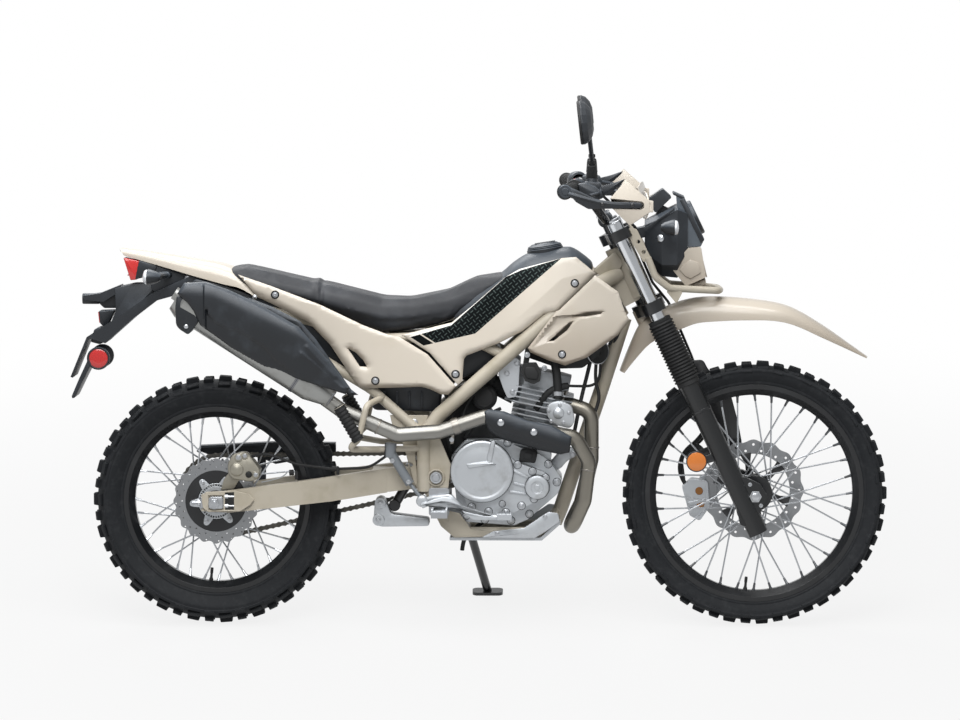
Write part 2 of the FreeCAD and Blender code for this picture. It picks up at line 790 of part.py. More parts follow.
def shrouds():
    """The painted side panels of the tank and the pointed shrouds below them."""
    upper_low = [(440, -122), (560, -122), (700, -124), (860, -136), (1100, -144)]
    upper_high = [(440, -100), (560, -84), (700, -88), (860, -108), (1100, -120)]
    sheet = plan_shell(upper_low, upper_high, PANEL_T, 590, 960)
    upper = side_plate(SHROUD_TOP[:16] + [(600, 612), (560, 700)], -200, 0).common(sheet)
    lower_low = [(780, -124), (880, -134), (1000, -154), (1080, -160)]
    lower_high = [(780, -104), (880, -118), (1000, -142), (1080, -150)]
    front_sheet = plan_shell(lower_low, lower_high, SHROUD_T, 660, 920)
    lower = side_plate(SHROUD_LOW, -200, 0, 8.0).common(front_sheet)
    slot_a = side_plate([(851, 738), (906, 787), (914, 787), (865, 738)], -200, 0)
    slot_b = side_plate([(912, 800), (988, 808), (988, 816), (912, 808)], -200, 0)
    lower = lower.cut([slot_a, slot_b])
    return upper, lower


def seat():
    """A long seat with a raised pillion step, narrow at the tank."""
    return section_loft([
        (20, [(60, 884), (78, 894), (74, 916), (52, 922)]),
        (60, [(84, 872), (98, 888), (92, 912), (66, 924)]),
        (252, [(88, 822), (108, 842), (100, 868), (70, 880)]),
        (290, [(88, 812), (110, 830), (102, 862), (70, 874)]),
        (430, [(76, 756), (108, 790), (98, 826), (64, 839)]),
        (500, [(70, 764), (96, 792), (86, 826), (54, 837)]),
        (600, [(64, 790), (80, 806), (74, 846), (44, 858)]),
        (670, [(60, 838), (72, 850), (66, 880), (40, 892)]),
        (744, [(54, 898), (64, 904), (60, 914), (38, 924)]),
    ])


SIDE_PANEL = [
    (60, 905), (145, 876), (273, 828), (378, 778), (442, 754), (475, 751), (547, 706), (600, 640),
    (597, 600), (579, 601), (551, 614), (530, 620), (372, 615), (349, 647), (296, 726), (241, 782),
    (145, 831), (112, 846),
]


def side_panels():
    low = [(40, -104), (300, -112), (480, -124), (640, -126)]
    high = [(40, -94), (300, -110), (480, -108), (640, -100)]
    sheet = plan_shell(low, high, PANEL_T, 590, 910)
    panel = side_plate(SIDE_PANEL, -200, 0).common(sheet)
    vent = side_plate([(340, 716), (376, 672), (388, 672), (362, 700)], -200, 0)
    return panel.cut(vent)


def tail():
    """The painted rear mudguard, flat on top and closed below."""
    side = side_plate([
        (-247, 968), (-159, 957), (18, 928), (62, 905), (112, 846),
        (92, 860), (-22, 888), (-123, 918), (-235, 948),
    ], -130, 130, 4.0)
    plan = plan_prism(
        [(-250, -48), (-150, -66), (20, -92), (120, -96), (120, 96), (20, 92), (-150, 66), (-250, 48)],
        [(-250, -40), (-150, -56), (20, -80), (120, -92), (120, 92), (20, 80), (-150, 56), (-250, 40)],
        840, 970)
    return side.common(plan)


def tail_lamps():
    """The tail lamp and the two rear turn signals on their stalks."""
    lamp = side_plate([(-236, 946), (-186, 934), (-150, 924), (-160, 900), (-218, 888)], -52, 52, 6.0)
    stalk = cylinder(8, vec(-108, -30, 922), vec(-148, -150, 902))
    pod = section_box(vec(-150, -178, 902), 44, 78, 34)
    return lamp, stalk, pod


def section_box(centre, length, width, height):
    """A lens pod tapering to the front."""
    x, y, z = centre.x, centre.y, centre.z
    def loop(px, w, h):
        corners = [vec(px, y + a * w / 2, z + b * h / 2) for a, b in ((-1, -1), (1, -1), (1, 1), (-1, 1))]
        return Part.makePolygon(corners + corners[:1])
    wires = [loop(x - length / 2, width, height), loop(x, width, height)]
    wires.append(loop(x + length / 2, width * 0.5, height * 0.6))
    return Part.makeLoft(wires, True, True)


PLATE_TOP = (-330, 742)
PLATE_FOOT = (-372, 640)


def plate_bolts():
    """The middle of the plate's bolt holes on the outer face, and the way the bolts come out."""
    high = vec(PLATE_TOP[0], 0, PLATE_TOP[1])
    low = vec(PLATE_FOOT[0], 0, PLATE_FOOT[1])
    down = (low - high).normalize()
    return (high + low) * 0.5, vec(down.z, 0, -down.x)


def plate_carrier():
    """The black inner mudguard with the arm that carries the plate."""
    arm = side_plate([
        (-44, 908), (-166, 852), (-240, 800), PLATE_TOP, PLATE_FOOT, (-366.4, 637.7),
        (-324.4, 739.7), (-282, 726), (-210, 790), (-150, 836), (-20, 872),
    ], -62, 62)
    centre, out = plate_bolts()
    for side in (-1, 1):
        hole = centre + vec(0, side * PLATE_HOLE_Y, 0)
        arm = arm.cut(cylinder(PLATE_HOLE_R, hole - out * 20, hole + out * 20))
    lamp = side_plate([(-342, 846), (-299, 852), (-245, 874), (-240, 862), (-290, 830), (-340, 836)], -30, 30)
    post = side_plate([(-262, 866), (-240, 872), (-226, 806), (-246, 796)], -18, 18)
    guard = side_plate([
        (92, 858), (300, 800), (420, 690), (452, 560), (446, 560), (412, 684), (296, 792), (90, 850),
    ], -58, 58)
    return fuse([arm, lamp, post]), guard


# Controls for the feet

def foot_pegs():
    """The rider's pegs and the folding pillion pegs with their brackets."""
    rider = block(556, 598, -212, -124, 294, 310)
    mount = side_plate([(548, 292), (600, 292), (600, 362), (548, 362)], -124, -SPAR_Y - 9, 6.0)
    rear_bar = tube([vec(430, -90, 592), vec(392, -180, 578), vec(372, -182, 492), vec(345, -176, 466),
                     vec(420, -110, 460), vec(524, -104, 462)], 8.0, 20.0)
    peg = cylinder(14, vec(322, -184, 575), vec(372, -184, 490))
    return fuse([rider, mount]), rear_bar, peg


def foot_levers():
    """The brake pedal on the right and the gear lever on the left."""
    pedal = tube([vec(531, -126, 331), vec(560, -132, 338), vec(603, -138, 344), vec(640, -142, 302),
                  vec(690, -142, 291), vec(735, -142, 289)], 6.5, 18.0)
    pad = block(722, 760, -160, -130, 284, 300)
    hub_r = across(13, 531, 331, -134, -SPAR_Y - 9)
    lever = tube([vec(700, 118, 330), vec(740, 126, 318), vec(800, 130, 322)], 6.0, 20.0)
    pivot = across(11, 700, 330, CASE_HALF + 14, 124)
    toe = across(9, 800, 322, 126, 168)
    return fuse([pedal, pad, hub_r]), fuse([lever, pivot, toe])


def rear_master():
    return fuse([
        cylinder(12, vec(452, -112, 450), vec(500, -112, 372)),
        cylinder(5, vec(500, -112, 372), vec(530, -118, 334)),
        cylinder(15, vec(448, -112, 440), vec(451, -112, 476)),
    ])


def rear_hose():
    """The brake hose from the master cylinder back along the top of the arm to the caliper."""
    return tube([
        vec(60, -64, 426), vec(128, -84, 448), vec(210, -97, 420), vec(300, -98, 408),
        vec(396, -100, 412), vec(449, -112, 450),
    ], HOSE_R, 70.0)


def chain_guard():
    """A channel over the chain's top run, standing on two tabs from the arm."""
    top = [(-60, 438), (-50, 452), (143, 462), (300, 460)]
    roof = side_plate(top + [(300, 454), (143, 456), (-46, 446), (-54, 434)], CHAIN_Y - 6, ARM_OUT - 10)
    skirt = side_plate(top + [(300, 430), (143, 402), (90, 424), (-26, 424)], ARM_OUT - 14, ARM_OUT - 10)
    tabs = [block(x, x + 22, ARM_OUT - 14, ARM_OUT - 10, 340, 440) for x in (96, 268)]
    return fuse([roof, skirt] + tabs)


# Steering

def clamp(height, thickness, reach):
    """A fork clamp around the stem and both legs, square to the steering axis."""
    up = rake_dir()
    centre = steer_point(height)
    forward = vec(math.cos(math.radians(RAKE)), 0, math.sin(math.radians(RAKE)))
    pieces = [cylinder(30, centre, centre + up * thickness)]
    for side in (-1, 1):
        leg = leg_point(height, side * LEG_Y)
        leg = centre + forward * ((leg - centre).dot(forward)) + vec(0, side * LEG_Y, 0)
        pieces.append(cylinder(reach, leg, leg + up * thickness))
        web = Part.makePolygon([
            centre - forward * 24, centre + forward * 26 + vec(0, side * 10, 0),
            leg + forward * 20, leg - forward * 20, centre - forward * 24,
        ])
        pieces.append(Part.Face(web).extrude(up * thickness))
    return fuse(pieces)


def triple_clamps():
    """The lower and upper fork clamps joined by the steering stem, with the bar risers."""
    low = clamp(800, 30, 30)
    high = clamp(984, 28, 30)
    stem = cylinder(14.95, steer_point(805), steer_point(1005))
    up = rake_dir()
    pieces = [low, high, stem]
    for side in (-1, 1):
        base = steer_point(1008) + vec(6, side * 46, 0)
        pieces.append(cylinder(14, base, base + up * 46))
    legs = [cylinder(STANCHION_R, leg_point(700, s * LEG_Y), leg_point(1060, s * LEG_Y)) for s in (-1, 1)]
    bar = across(BAR_R, bar_centre().x, bar_centre().z, -80, 80)
    return fuse(pieces).cut(legs + [bar])


def bar_centre():
    return steer_point(1008) + vec(6, 0, 0) + rake_dir() * 38


def fork_legs():
    """Bright upper tubes in black sliders that end in the axle lugs."""
    legs = []
    for side in (-1, 1):
        y = side * LEG_Y
        top = cylinder(STANCHION_R, leg_point(600, y), leg_point(1036, y))
        slider = cylinder(SLIDER_R, leg_point(245, y), leg_point(650, y))
        lug_line = [(-36, 250), (12, 300), (32, 341), (12, 372), (-30, 392), (-60, 380)]
        lug = front_plate(lug_line, y - 15, y + 15, 14.0)
        bore = across(AXLE_R + 0.05, FRONT_AXLE.x, FRONT_AXLE.z, -200, 200)
        legs.append(fuse([top, slider, lug]).cut(bore))
    return Part.makeCompound(legs)


def gaiters():
    """Rubber boots in even folds between the lower clamp and the sliders."""
    boots = []
    for side in (-1, 1):
        y = side * LEG_Y
        folds = 9
        low = leg_point(630, y)
        high = leg_point(790, y)
        step = (high - low) * (1.0 / folds)
        pieces = []
        for i in range(folds):
            a = low + step * i
            middle = a + step * 0.5
            pieces.append(cone(GAITER_R - 5, GAITER_R, a, middle))
            pieces.append(cone(GAITER_R, GAITER_R - 5, middle, a + step))
        boots.append(fuse(pieces))
    return Part.makeCompound(boots)


def front_axle():
    y = LEG_Y + 17
    pieces = [across(AXLE_R, FRONT_AXLE.x, FRONT_AXLE.z, -y, y)]
    pieces.append(across(14, FRONT_AXLE.x, FRONT_AXLE.z, -LEG_Y + 15, -56))
    pieces.append(across(14, FRONT_AXLE.x, FRONT_AXLE.z, FRONT_DISC_Y + DISC_T / 2 + GAP, LEG_Y - 15))
    pieces.append(across(13, FRONT_AXLE.x, FRONT_AXLE.z, -y, -LEG_Y - 15))
    pieces.append(across(13, FRONT_AXLE.x, FRONT_AXLE.z, LEG_Y + 15, y))
    return fuse(pieces)


def handlebar():
    c = bar_centre()
    points = [
        front_vec(-486, -BAR_HALF, 1128), front_vec(-445, -215, 1132), vec(c.x, -88, c.z),
        vec(c.x, 88, c.z), front_vec(-445, 215, 1132), front_vec(-486, BAR_HALF, 1128),
    ]
    return tube(points, BAR_R, 60.0)


def bar_point(from_end, side):
    """A point on the straight outer run of the handlebar, so far in from its end."""
    end = front_vec(-486, side * BAR_HALF, 1128)
    bend = front_vec(-445, side * 215, 1132)
    return end + (bend - end).normalize() * from_end


def hand_controls():
    """Grips, switch pods, master cylinders and levers."""
    pieces = []
    for side in (-1, 1):
        grip_end = bar_point(4, side)
        grip_in = bar_point(GRIP_LENGTH, side)
        pod_in = bar_point(GRIP_LENGTH + 44, side)
        pieces.append(ring(GRIP_R, BAR_R, grip_in, grip_end))
        pod = ring(20, BAR_R, grip_in + (pod_in - grip_in) * 0.1, pod_in)
        near = side * (BAR_HALF - 192)
        far = side * (BAR_HALF - 147)
        tank_box = block(pod_in.x + 8, pod_in.x + 74, min(near, far), max(near, far), 1128, 1160)
        lever = tube([
            front_vec(-395, side * (BAR_HALF - 162), 1132), front_vec(-395, side * (BAR_HALF - 102), 1124),
            front_vec(-424, side * (BAR_HALF - 2), 1118),
        ], 5.0, 30.0)
        pieces.append(fuse([pod, tank_box, lever]))
    return Part.makeCompound(pieces)


def hand_guards():
    """Pointed deflectors ahead of the grips, each on a bar from the handlebar's end."""
    outer = BAR_HALF + 11
    plate = front_plate([(-334, 1155), (-276, 1104), (-276, 1077), (-324, 1045), (-370, 1084), (-372, 1112)],
                        -outer, -outer + 6, 6.0)
    slot = front_plate([(-400, 1089), (-290, 1087), (-290, 1103), (-400, 1105)], -outer - 1, -outer + 7)
    arm = tube([
        front_vec(-490, -BAR_HALF - 8, 1128), front_vec(-390, -BAR_HALF - 6, 1100),
        front_vec(-320, -BAR_HALF + 10, 1098), front_vec(-316, -BAR_HALF + 152, 1110),
        front_vec(-395, -BAR_HALF + 212, 1130),
    ], 6.0, 30.0)
    line = [(-380, -BAR_HALF - 10), (-318, -BAR_HALF - 2), (-288, -BAR_HALF + 72), (-294, -BAR_HALF + 162)]
    line = [(FRONT_AXLE.x + x, y) for x, y in line]
    shell = plan_shell(line, line, 6.0, 1046, 1160)
    front_line = [(-340, 1156), (-274, 1125), (-274, 1060), (-330, 1046)]
    front = front_plate(front_line, -outer - 7, -BAR_HALF + 166, 4.0)
    return fuse([plate.cut(slot), arm, front.common(shell)])


def oval_dome(face, normal, width, height, depth):
    """A shallow dome behind an oval face, as a stack of shrinking ovals."""
    side = vec(0, 1, 0)
    up = normal.cross(side)
    wires = []
    for along, scale in ((0, 0.97), (0.2, 1.0), (0.55, 0.9), (0.85, 0.66), (1.0, 0.36)):
        middle = face + normal * (depth * along)
        corners = []
        for i in range(16):
            a = 2 * math.pi * i / 16
            rise = up * (height / 2 * scale * math.sin(a))
            corners.append(middle + side * (width / 2 * scale * math.cos(a)) + rise)
        wires.append(Part.makePolygon(corners + corners[:1]))
    return Part.makeLoft(wires, True, True)


def mirrors():
    """An oval head on a bent stem and a rubber boot, either side."""
    normal = vec(0.994, 0, 0.108).normalize()
    head_y = -BAR_HALF + 42
    head = oval_dome(front_vec(-448, head_y, 1298), normal, 150, 110, 33)
    stem_y = -BAR_HALF + 166
    stem = tube([
        front_vec(-418, stem_y, 1156), front_vec(-418, stem_y - 16, 1200), front_vec(-426, head_y + 30, 1268),
    ], 5.0, 20.0)
    boot = cone(13, 7, front_vec(-418, stem_y, 1154), front_vec(-418, stem_y - 11, 1188))
    return fuse([head, stem, boot])


def headlamp():
    """The lamp cowl with its lens face, screen and instrument pod."""
    stations = [
        (-282, [(52, 940), (64, 960), (60, 1030), (44, 1040)]),
        (-240, [(62, 900), (84, 930), (80, 1050), (52, 1062)]),
        (-200, [(60, 896), (84, 930), (76, 1070), (44, 1082)]),
        (-174, [(46, 930), (70, 960), (62, 1060), (36, 1074)]),
    ]
    cowl = section_loft([(FRONT_AXLE.x + x, half) for x, half in stations])
    stay = front_plate([(-350, 1012), (-276, 1026), (-276, 1000), (-340, 984)], -40, 40)
    cowl = fuse([cowl, stay])
    mask = front_plate([(-218, 924), (-173, 972), (-140, 976), (-127, 898), (-178, 875)], -74, 74, 6.0)
    screen = front_plate(
        [(-204, 1111), (-181, 1098), (-131, 995), (-140, 976), (-173, 975), (-200, 1060)], -58, 58, 3.0)
    meter = front_plate([(-276, 1094), (-237, 1122), (-214, 1101), (-256, 1060)], -48, 48, 4.0)
    post = front_plate([(-270, 1030), (-240, 1080), (-220, 1070), (-250, 1020)], -30, 30)
    return cowl, mask, screen, fuse([meter, post])


def lamp_guard():
    """The painted tube guard around the headlamp's lower side, on two drilled plates."""
    pipe = tube([front_vec(-276, -101, 950), front_vec(-256, -104, 900), front_vec(-220, -100, 872),
                 front_vec(-96, -70, 864), front_vec(-90, 0, 862)], 9.0, 24.0)
    plate = front_plate([(-330, 1012), (-320, 1027), (-304, 1022), (-268, 950), (-275, 938), (-288, 940)],
                        -104, -98, 5.0)
    holes = [across(5, FRONT_AXLE.x - 300, 990, -110, -90), across(5, FRONT_AXLE.x - 286, 964, -110, -90)]
    tab = front_plate([(-232, 868), (-186, 864), (-202, 832)], -101, -96, 4.0)
    side = fuse([pipe, plate.cut(holes), tab])
    return fuse([side, mirrored(side)])


def front_signals():
    centre = front_vec(-212, -164, 1030)
    stalk = cylinder(8, front_vec(-230, -70, 1020), front_vec(-220, -130, 1026))
    pod = section_box(centre, 40, 74, 34)
    pod.rotate(centre, vec(0, 0, 1), 180)
    return fuse([stalk, pod])


def front_fender():
    """A high mudguard: a curved channel, narrow between the legs and wide in front of them."""
    top = [(-346, 656), (-295, 775), (-230, 818), (-175, 838), (-118, 845), (53, 830), (100, 814), (290, 690)]
    low = [(252, 702), (97, 776), (31, 788), (-153, 780), (-258, 732), (-334, 652)]
    outer = front_plate(top + low, -90, 90)
    inner_top = [(x, z - 5) for x, z in top[2:-1]]
    inner_line = [(-380, 600), (-340, 660), (-292, 770)] + inner_top + [(270, 696), (320, 600)]
    inner = front_plate(inner_line, -90, 90)
    widths = [(-380, 44), (-260, 50), (-190, 54), (-140, 68), (40, 72), (180, 60), (292, 34)]

    def channel(inset, z0, z1):
        right = [(FRONT_AXLE.x + x, -w + inset) for x, w in widths]
        left = [(x, -y) for x, y in reversed(right)]
        return plan_prism(right + left, right + left, z0, z1)
    boss = cylinder(20, steer_point(770), steer_point(812))
    return fuse([outer.common(channel(0, 600, 900)).cut(inner.common(channel(4, 590, 910))), boss])


def front_brake():
    """The twin-piston caliper behind the left leg, on its bracket."""
    body_line = [(-184, 350), (-160, 372), (-118, 366), (-112, 300), (-138, 262), (-164, 276)]
    body = front_plate(body_line, 40, 84, 8.0)
    gap = across(FRONT_DISC_R + 3, FRONT_AXLE.x, FRONT_AXLE.z, FRONT_DISC_Y - 4, FRONT_DISC_Y + 4)
    bracket = front_plate([(-140, 372), (-50, 420), (-40, 390), (-118, 300)], 70, 84, 6.0)
    leg = cylinder(SLIDER_R, leg_point(240, LEG_Y), leg_point(650, LEG_Y))
    return fuse([body, bracket]).cut([gap, leg])


def front_hose():
    """The brake hose from the right hand's master cylinder, behind the lamp and down the left leg."""
    return tube([
        front_vec(-415, -222, 1134), front_vec(-378, -170, 1098), front_vec(-302, -62, 1020),
        front_vec(-292, -52, 950), front_vec(-262, 4, 880), front_vec(-220, 68, 826),
        front_vec(-191, 106, 758), front_vec(-158, 136, 680), front_vec(-118, 132, 560),
        front_vec(-122, 128, 470), front_vec(-186, 96, 424), front_vec(-176, 66, 350),
    ], HOSE_R, 45.0)


# Side stand

STAND_PIVOT = vec(640, 118, 248)
STAND_FOOT = vec(690, 262, 0)
STAND_UP = vec(-0.985, 0.06, 0.16)
STAND_R = 11.0
STAND_BOLT_R = 6.0


def to_floor_frame(point):
    a = math.radians(LEAN)
    return vec(point.x, point.y * math.cos(a) + point.z * math.sin(a),
               -point.y * math.sin(a) + point.z * math.cos(a))


def stand_axis():
    """The pivot bolt's direction, square to the leg both down and folded."""
    down = (STAND_FOOT - to_floor_frame(STAND_PIVOT)).normalize()
    up = STAND_UP.normalize()
    return down.cross(up).normalize()


def side_stand():
    """The leg from its forked eye to the pad on the ground."""
    pivot = to_floor_frame(STAND_PIVOT)
    axis = stand_axis()
    foot = STAND_FOOT + vec(0, 0, 7)
    eye = cylinder(17, pivot - axis * 6, pivot + axis * 6)
    bolt_hole = cylinder(STAND_BOLT_R + 0.05, pivot - axis * 40, pivot + axis * 40)
    along = (foot - pivot).normalize()
    side = axis.cross(along)
    reach = along * 36
    corners = [pivot - side * 12, pivot + side * 12, pivot + side * 12 + reach, pivot - side * 12 + reach]
    neck = Part.Face(Part.makePolygon(corners + corners[:1])).extrude(axis * 12)
    neck.translate(axis * -6)
    leg = cylinder(STAND_R, pivot + along * 30, foot)
    pad_wire = outline([(650, 240), (730, 240), (730, 286), (650, 286)], top_view(0), 14.0)
    pad = Part.Face(pad_wire).extrude(vec(0, 0, 8))
    floor = block(400, 900, 0, 500, -40, 0)
    top = fuse([eye, neck, leg]).cut(bolt_hole)
    return fuse([top, pad]).cut(floor)


def stand_bracket():
    """The boss on the lower left rail, with the bolt that carries the stand's eye."""
    pivot = to_floor_frame(STAND_PIVOT)
    axis = stand_axis()
    boss = cylinder(15, pivot - axis * 34, pivot - axis * (6 + GAP))
    bolt = cylinder(STAND_BOLT_R, pivot - axis * 10, pivot + axis * 12)
    head = cylinder(10, pivot + axis * (6 + GAP), pivot + axis * 12)
    return fuse([boss, bolt, head])


# Assembly

def lean(shape):
    leaned = shape.copy()
    leaned.rotate(vec(0, 0, 0), vec(1, 0, 0), -LEAN)
    return leaned


def box_middle(shapes):
    """The middle of the box around all pieces, at the ground."""
    xs = [vertex.X for shape in shapes for vertex in shape.Vertexes]
    ys = [vertex.Y for shape in shapes for vertex in shape.Vertexes]
    return vec((min(xs) + max(xs)) / 2, (min(ys) + max(ys)) / 2, 0)


def placed_tyre(shape, axle):
    moved = shape.copy()
    moved.translate(axle)
    return moved


def wheel_nodes():
    rear_rim = wheel_rim(REAR_AXLE, REAR_RIM_R, REAR_RIM_W)
    front_rim = wheel_rim(FRONT_AXLE, FRONT_RIM_R, FRONT_RIM_W)
    rear_hub = hub(REAR_AXLE, 62, 34, 34, CHAIN_Y + SPROCKET_T / 2, REAR_DISC_Y - 9)
    front_hub = hub(FRONT_AXLE, 46, 28, 30, FRONT_DISC_Y + DISC_T / 2, -55.7)
    rear_disc = brake_disc(REAR_AXLE, REAR_DISC_R, 80, 26, REAR_DISC_Y, 10, 5)
    front_disc = brake_disc(FRONT_AXLE, FRONT_DISC_R, 100, 20, FRONT_DISC_Y, 12, 6)
    return {
        "rear_tyre": placed_tyre(REAR_TYRE, REAR_AXLE).cut(rear_rim),
        "front_tyre": placed_tyre(FRONT_TYRE, FRONT_AXLE).cut(front_rim),
        "rear_rim": rear_rim,
        "front_rim": front_rim,
        "rear_hub": rear_hub,
        "front_hub": front_hub,
        "rear_spokes": spokes(REAR_AXLE, 62, 31, REAR_RIM_R),
        "front_spokes": spokes(FRONT_AXLE, 46, 27, FRONT_RIM_R),
        "rear_disc": rear_disc.cut(rear_hub),
        "front_disc": front_disc.cut(front_hub),
        "rear_sprocket": sprocket(REAR_AXLE, REAR_TEETH, 26).cut(rear_hub),
    }


def frame_nodes():
    spine = frame_spine()
    cradle = frame_cradle().cut(spine)
    arm = swingarm()
    return {
        "frame_spine": spine,
        "frame_cradle": cradle,
        "subframe": subframe().cut(spine),
        "skid_plate": skid_plate().cut(cradle),
        "swingarm": arm,
        "rear_axle": rear_axle(),
        "rear_caliper": rear_caliper(),
        "rear_shock": rear_shock().cut(spine),
        "chain": chain(),
        "chain_guard": chain_guard().cut(arm),
        "drive_sprocket": drive_sprocket(),
    }


def power_nodes(frame):
    cases = engine_cases()
    spine = frame["frame_spine"]
    cylinder_block = engine_cylinder().cut(cases)
    silencer, hanger = muffler()
    silencer = cut(fuse([silencer, hanger]), frame["subframe"])
    pipe = cut(exhaust_pipe(), cylinder_block, silencer)
    hangers = cut(engine_hangers(), cylinder_block, spine)
    coil = main_solid(cut(ignition_coil(), cylinder_block, spine))
    air_path = main_solid(cut(intake(), cylinder_block, spine))
    return {
        "engine_cases": Part.makeCompound([cases] + hangers.Solids),
        "engine_cylinder": cylinder_block,
        "intake": Part.makeCompound([air_path, coil]),
        "exhaust_pipe": pipe,
        "muffler": silencer,
        "exhaust_covers": cut(muffler_covers(silencer), pipe, silencer),
    }


def body_nodes(frame):
    saddle = seat()
    upper, lower = shrouds()
    upper = cut(upper, frame["frame_spine"], saddle)
    tail_piece = tail().cut(saddle)
    panel = main_solid(cut(side_panels(), saddle, tail_piece, upper))
    lamp, stalk, pod = tail_lamps()
    arm, guard = plate_carrier()
    return {
        "seat": saddle,
        "tank": cut(tank(), saddle, upper, mirrored(upper)),
        "tank_panels": both_sides(upper),
        "shrouds": both_sides(lower.cut(upper)),
        "side_panels": both_sides(panel),
        "tail": cut(tail_piece, lamp),
        "tail_lamp": lamp,
        "rear_signals": both_sides(cut(fuse([stalk, pod]), tail_piece, lamp)),
        "plate_carrier": Part.makeCompound([cut(arm, tail_piece, lamp), cut(guard, tail_piece, saddle)]),
    }


def rider_nodes(frame):
    spine = frame["frame_spine"]
    peg, loop, pillion = foot_pegs()
    pillion = cut(fuse([loop, pillion]), frame["subframe"], spine)
    levers = [cut(lever, spine, peg) for lever in foot_levers()]
    master = cut(rear_master(), spine, pillion, *levers)
    hose = cut(rear_hose(), master, frame["rear_caliper"], frame["swingarm"], pillion)
    return {
        "foot_pegs": both_sides(cut(peg, spine, frame["frame_cradle"])),
        "pillion_pegs": both_sides(pillion),
        "foot_levers": Part.makeCompound(levers),
        "rear_master": Part.makeCompound(master.Solids + [main_solid(hose)]),
    }


def steering_nodes():
    legs = fork_legs()
    clamps = triple_clamps()
    bar = handlebar()
    cowl, mask, lens, meter = headlamp()
    mask = mask.cut(lens)
    cowl = cut(cowl, mask, lens, clamps)
    controls = hand_controls().cut(bar)
    guards = cut(hand_guards(), bar, controls)
    caliper = front_brake()
    hose = main_solid(cut(front_hose(), controls, caliper))
    return {
        "triple_clamps": clamps,
        "fork_legs": legs,
        "gaiters": cut(gaiters(), legs, clamps),
        "front_axle": front_axle().cut(legs),
        "handlebar": bar,
        "hand_controls": controls,
        "hand_guards": both_sides(guards),
        "mirrors": both_sides(mirrors().cut(controls)),
        "lamp_cowl": cowl,
        "lamp_mask": mask,
        "lamp_lens": lens,
        "instruments": cut(meter, cowl, lens),
        "lamp_guard": cut(lamp_guard(), legs, clamps, cowl),
        "front_signals": both_sides(cut(front_signals(), cowl)),
        "front_fender": front_fender().cut(clamps),
        "front_brake": caliper,
        "front_hose": hose,
    }


def assembled():
    """Every piece as it stands, leaned on the side stand, about the machine's own origin."""
    nodes = wheel_nodes()
    frame = frame_nodes()
    nodes.update(frame)
    nodes.update(power_nodes(frame))
    nodes.update(body_nodes(frame))
    nodes.update(rider_nodes(frame))
    nodes.update(steering_nodes())
    standing = {name: lean(shape) for name, shape in nodes.items()}
    standing["side_stand"] = side_stand()
    standing["stand_bracket"] = cut(stand_bracket(), standing["frame_cradle"], standing["skid_plate"])
    origin = box_middle(standing.values())
    for shape in standing.values():
        shape.translate(origin * -1)
    return standing, origin


def build():
    os.makedirs("parts", exist_ok=True)
    standing, origin = assembled()
    for name, shape in standing.items():
        shape.exportStep("parts/" + name + ".step")
    print("pieces", len(standing), "origin", round(origin.x, 1), round(origin.y, 1))


if __name__ == "__main__":
    build()
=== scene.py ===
# %% [markdown]
# # A dual sport motorcycle, dressed for a photograph
# The machine's frame, engine, wheels and panels come from an exact CAD model. This notebook gives them their
# finishes and adds what a maker adds last: tread, bolts, chain plates, hoses and lenses.
# The CAD model is the frame of everything here. It is loaded first and is never moved, so each new piece is
# placed by the same measurements as the real one.

# %% Load the machine
import json
import math

import bmesh
import bpy
from mathutils import Matrix, Vector
from mathutils.bvhtree import BVHTree


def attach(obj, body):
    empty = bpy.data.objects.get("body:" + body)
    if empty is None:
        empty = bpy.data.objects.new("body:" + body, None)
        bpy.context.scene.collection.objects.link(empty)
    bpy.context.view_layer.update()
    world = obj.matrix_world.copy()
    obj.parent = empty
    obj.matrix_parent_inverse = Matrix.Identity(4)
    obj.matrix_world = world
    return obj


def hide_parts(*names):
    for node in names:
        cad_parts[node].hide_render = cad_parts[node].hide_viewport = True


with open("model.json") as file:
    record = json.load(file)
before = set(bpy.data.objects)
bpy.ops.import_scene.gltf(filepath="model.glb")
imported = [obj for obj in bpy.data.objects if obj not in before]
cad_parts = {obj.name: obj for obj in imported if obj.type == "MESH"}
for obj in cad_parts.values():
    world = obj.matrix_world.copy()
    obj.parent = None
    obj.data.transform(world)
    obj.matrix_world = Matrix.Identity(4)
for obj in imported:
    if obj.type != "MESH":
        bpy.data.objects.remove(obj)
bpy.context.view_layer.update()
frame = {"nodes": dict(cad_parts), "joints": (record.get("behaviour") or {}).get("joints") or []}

# %% [markdown]
# A parked motorcycle leans on its side stand, and measuring a leaned thing is awkward. All new pieces are drawn
# upright in millimetres: x runs forward from the rear axle, y to the rider's left, z up from the ground.
# One matrix then stands every piece as the CAD model stands, leaned ten degrees to its left.

# %% One matrix from the drawing to the parked machine
LEAN = math.radians(10)
RIGHT, LEFT = (0, -1, 0), (0, 1, 0)
DRAWING_ORIGIN = Vector((672.9, 214.5, 0))
STAND = Matrix.Scale(0.001, 4) @ Matrix.Translation(-DRAWING_ORIGIN) @ Matrix.Rotation(-LEAN, 4, "X")
DRAWN = STAND.inverted()
JOINT_AT = {joint["name"]: DRAWN @ Vector(joint["pos_m"]) for joint in frame["joints"]}
REAR_AXLE = JOINT_AT["rear_wheel_axle"]
FRONT_AXLE = JOINT_AT["front_wheel_axle"]
print("axles on the drawing:", [round(v, 1) for v in REAR_AXLE], [round(v, 1) for v in FRONT_AXLE])

# %% [markdown]
# The photograph is a long-lens side view from the right, a little above the middle of the machine. The camera is
# set on the drawing, square to the wheels, and turned down to the middle of the picture. The same matrix that
# leans the machine leans the camera, so that the picture shows the wheels upright.

# %% Camera
def linked(name, data):
    """Puts a new object in the scene."""
    made = bpy.data.objects.new(name, data)
    bpy.context.scene.collection.objects.link(made)
    return made


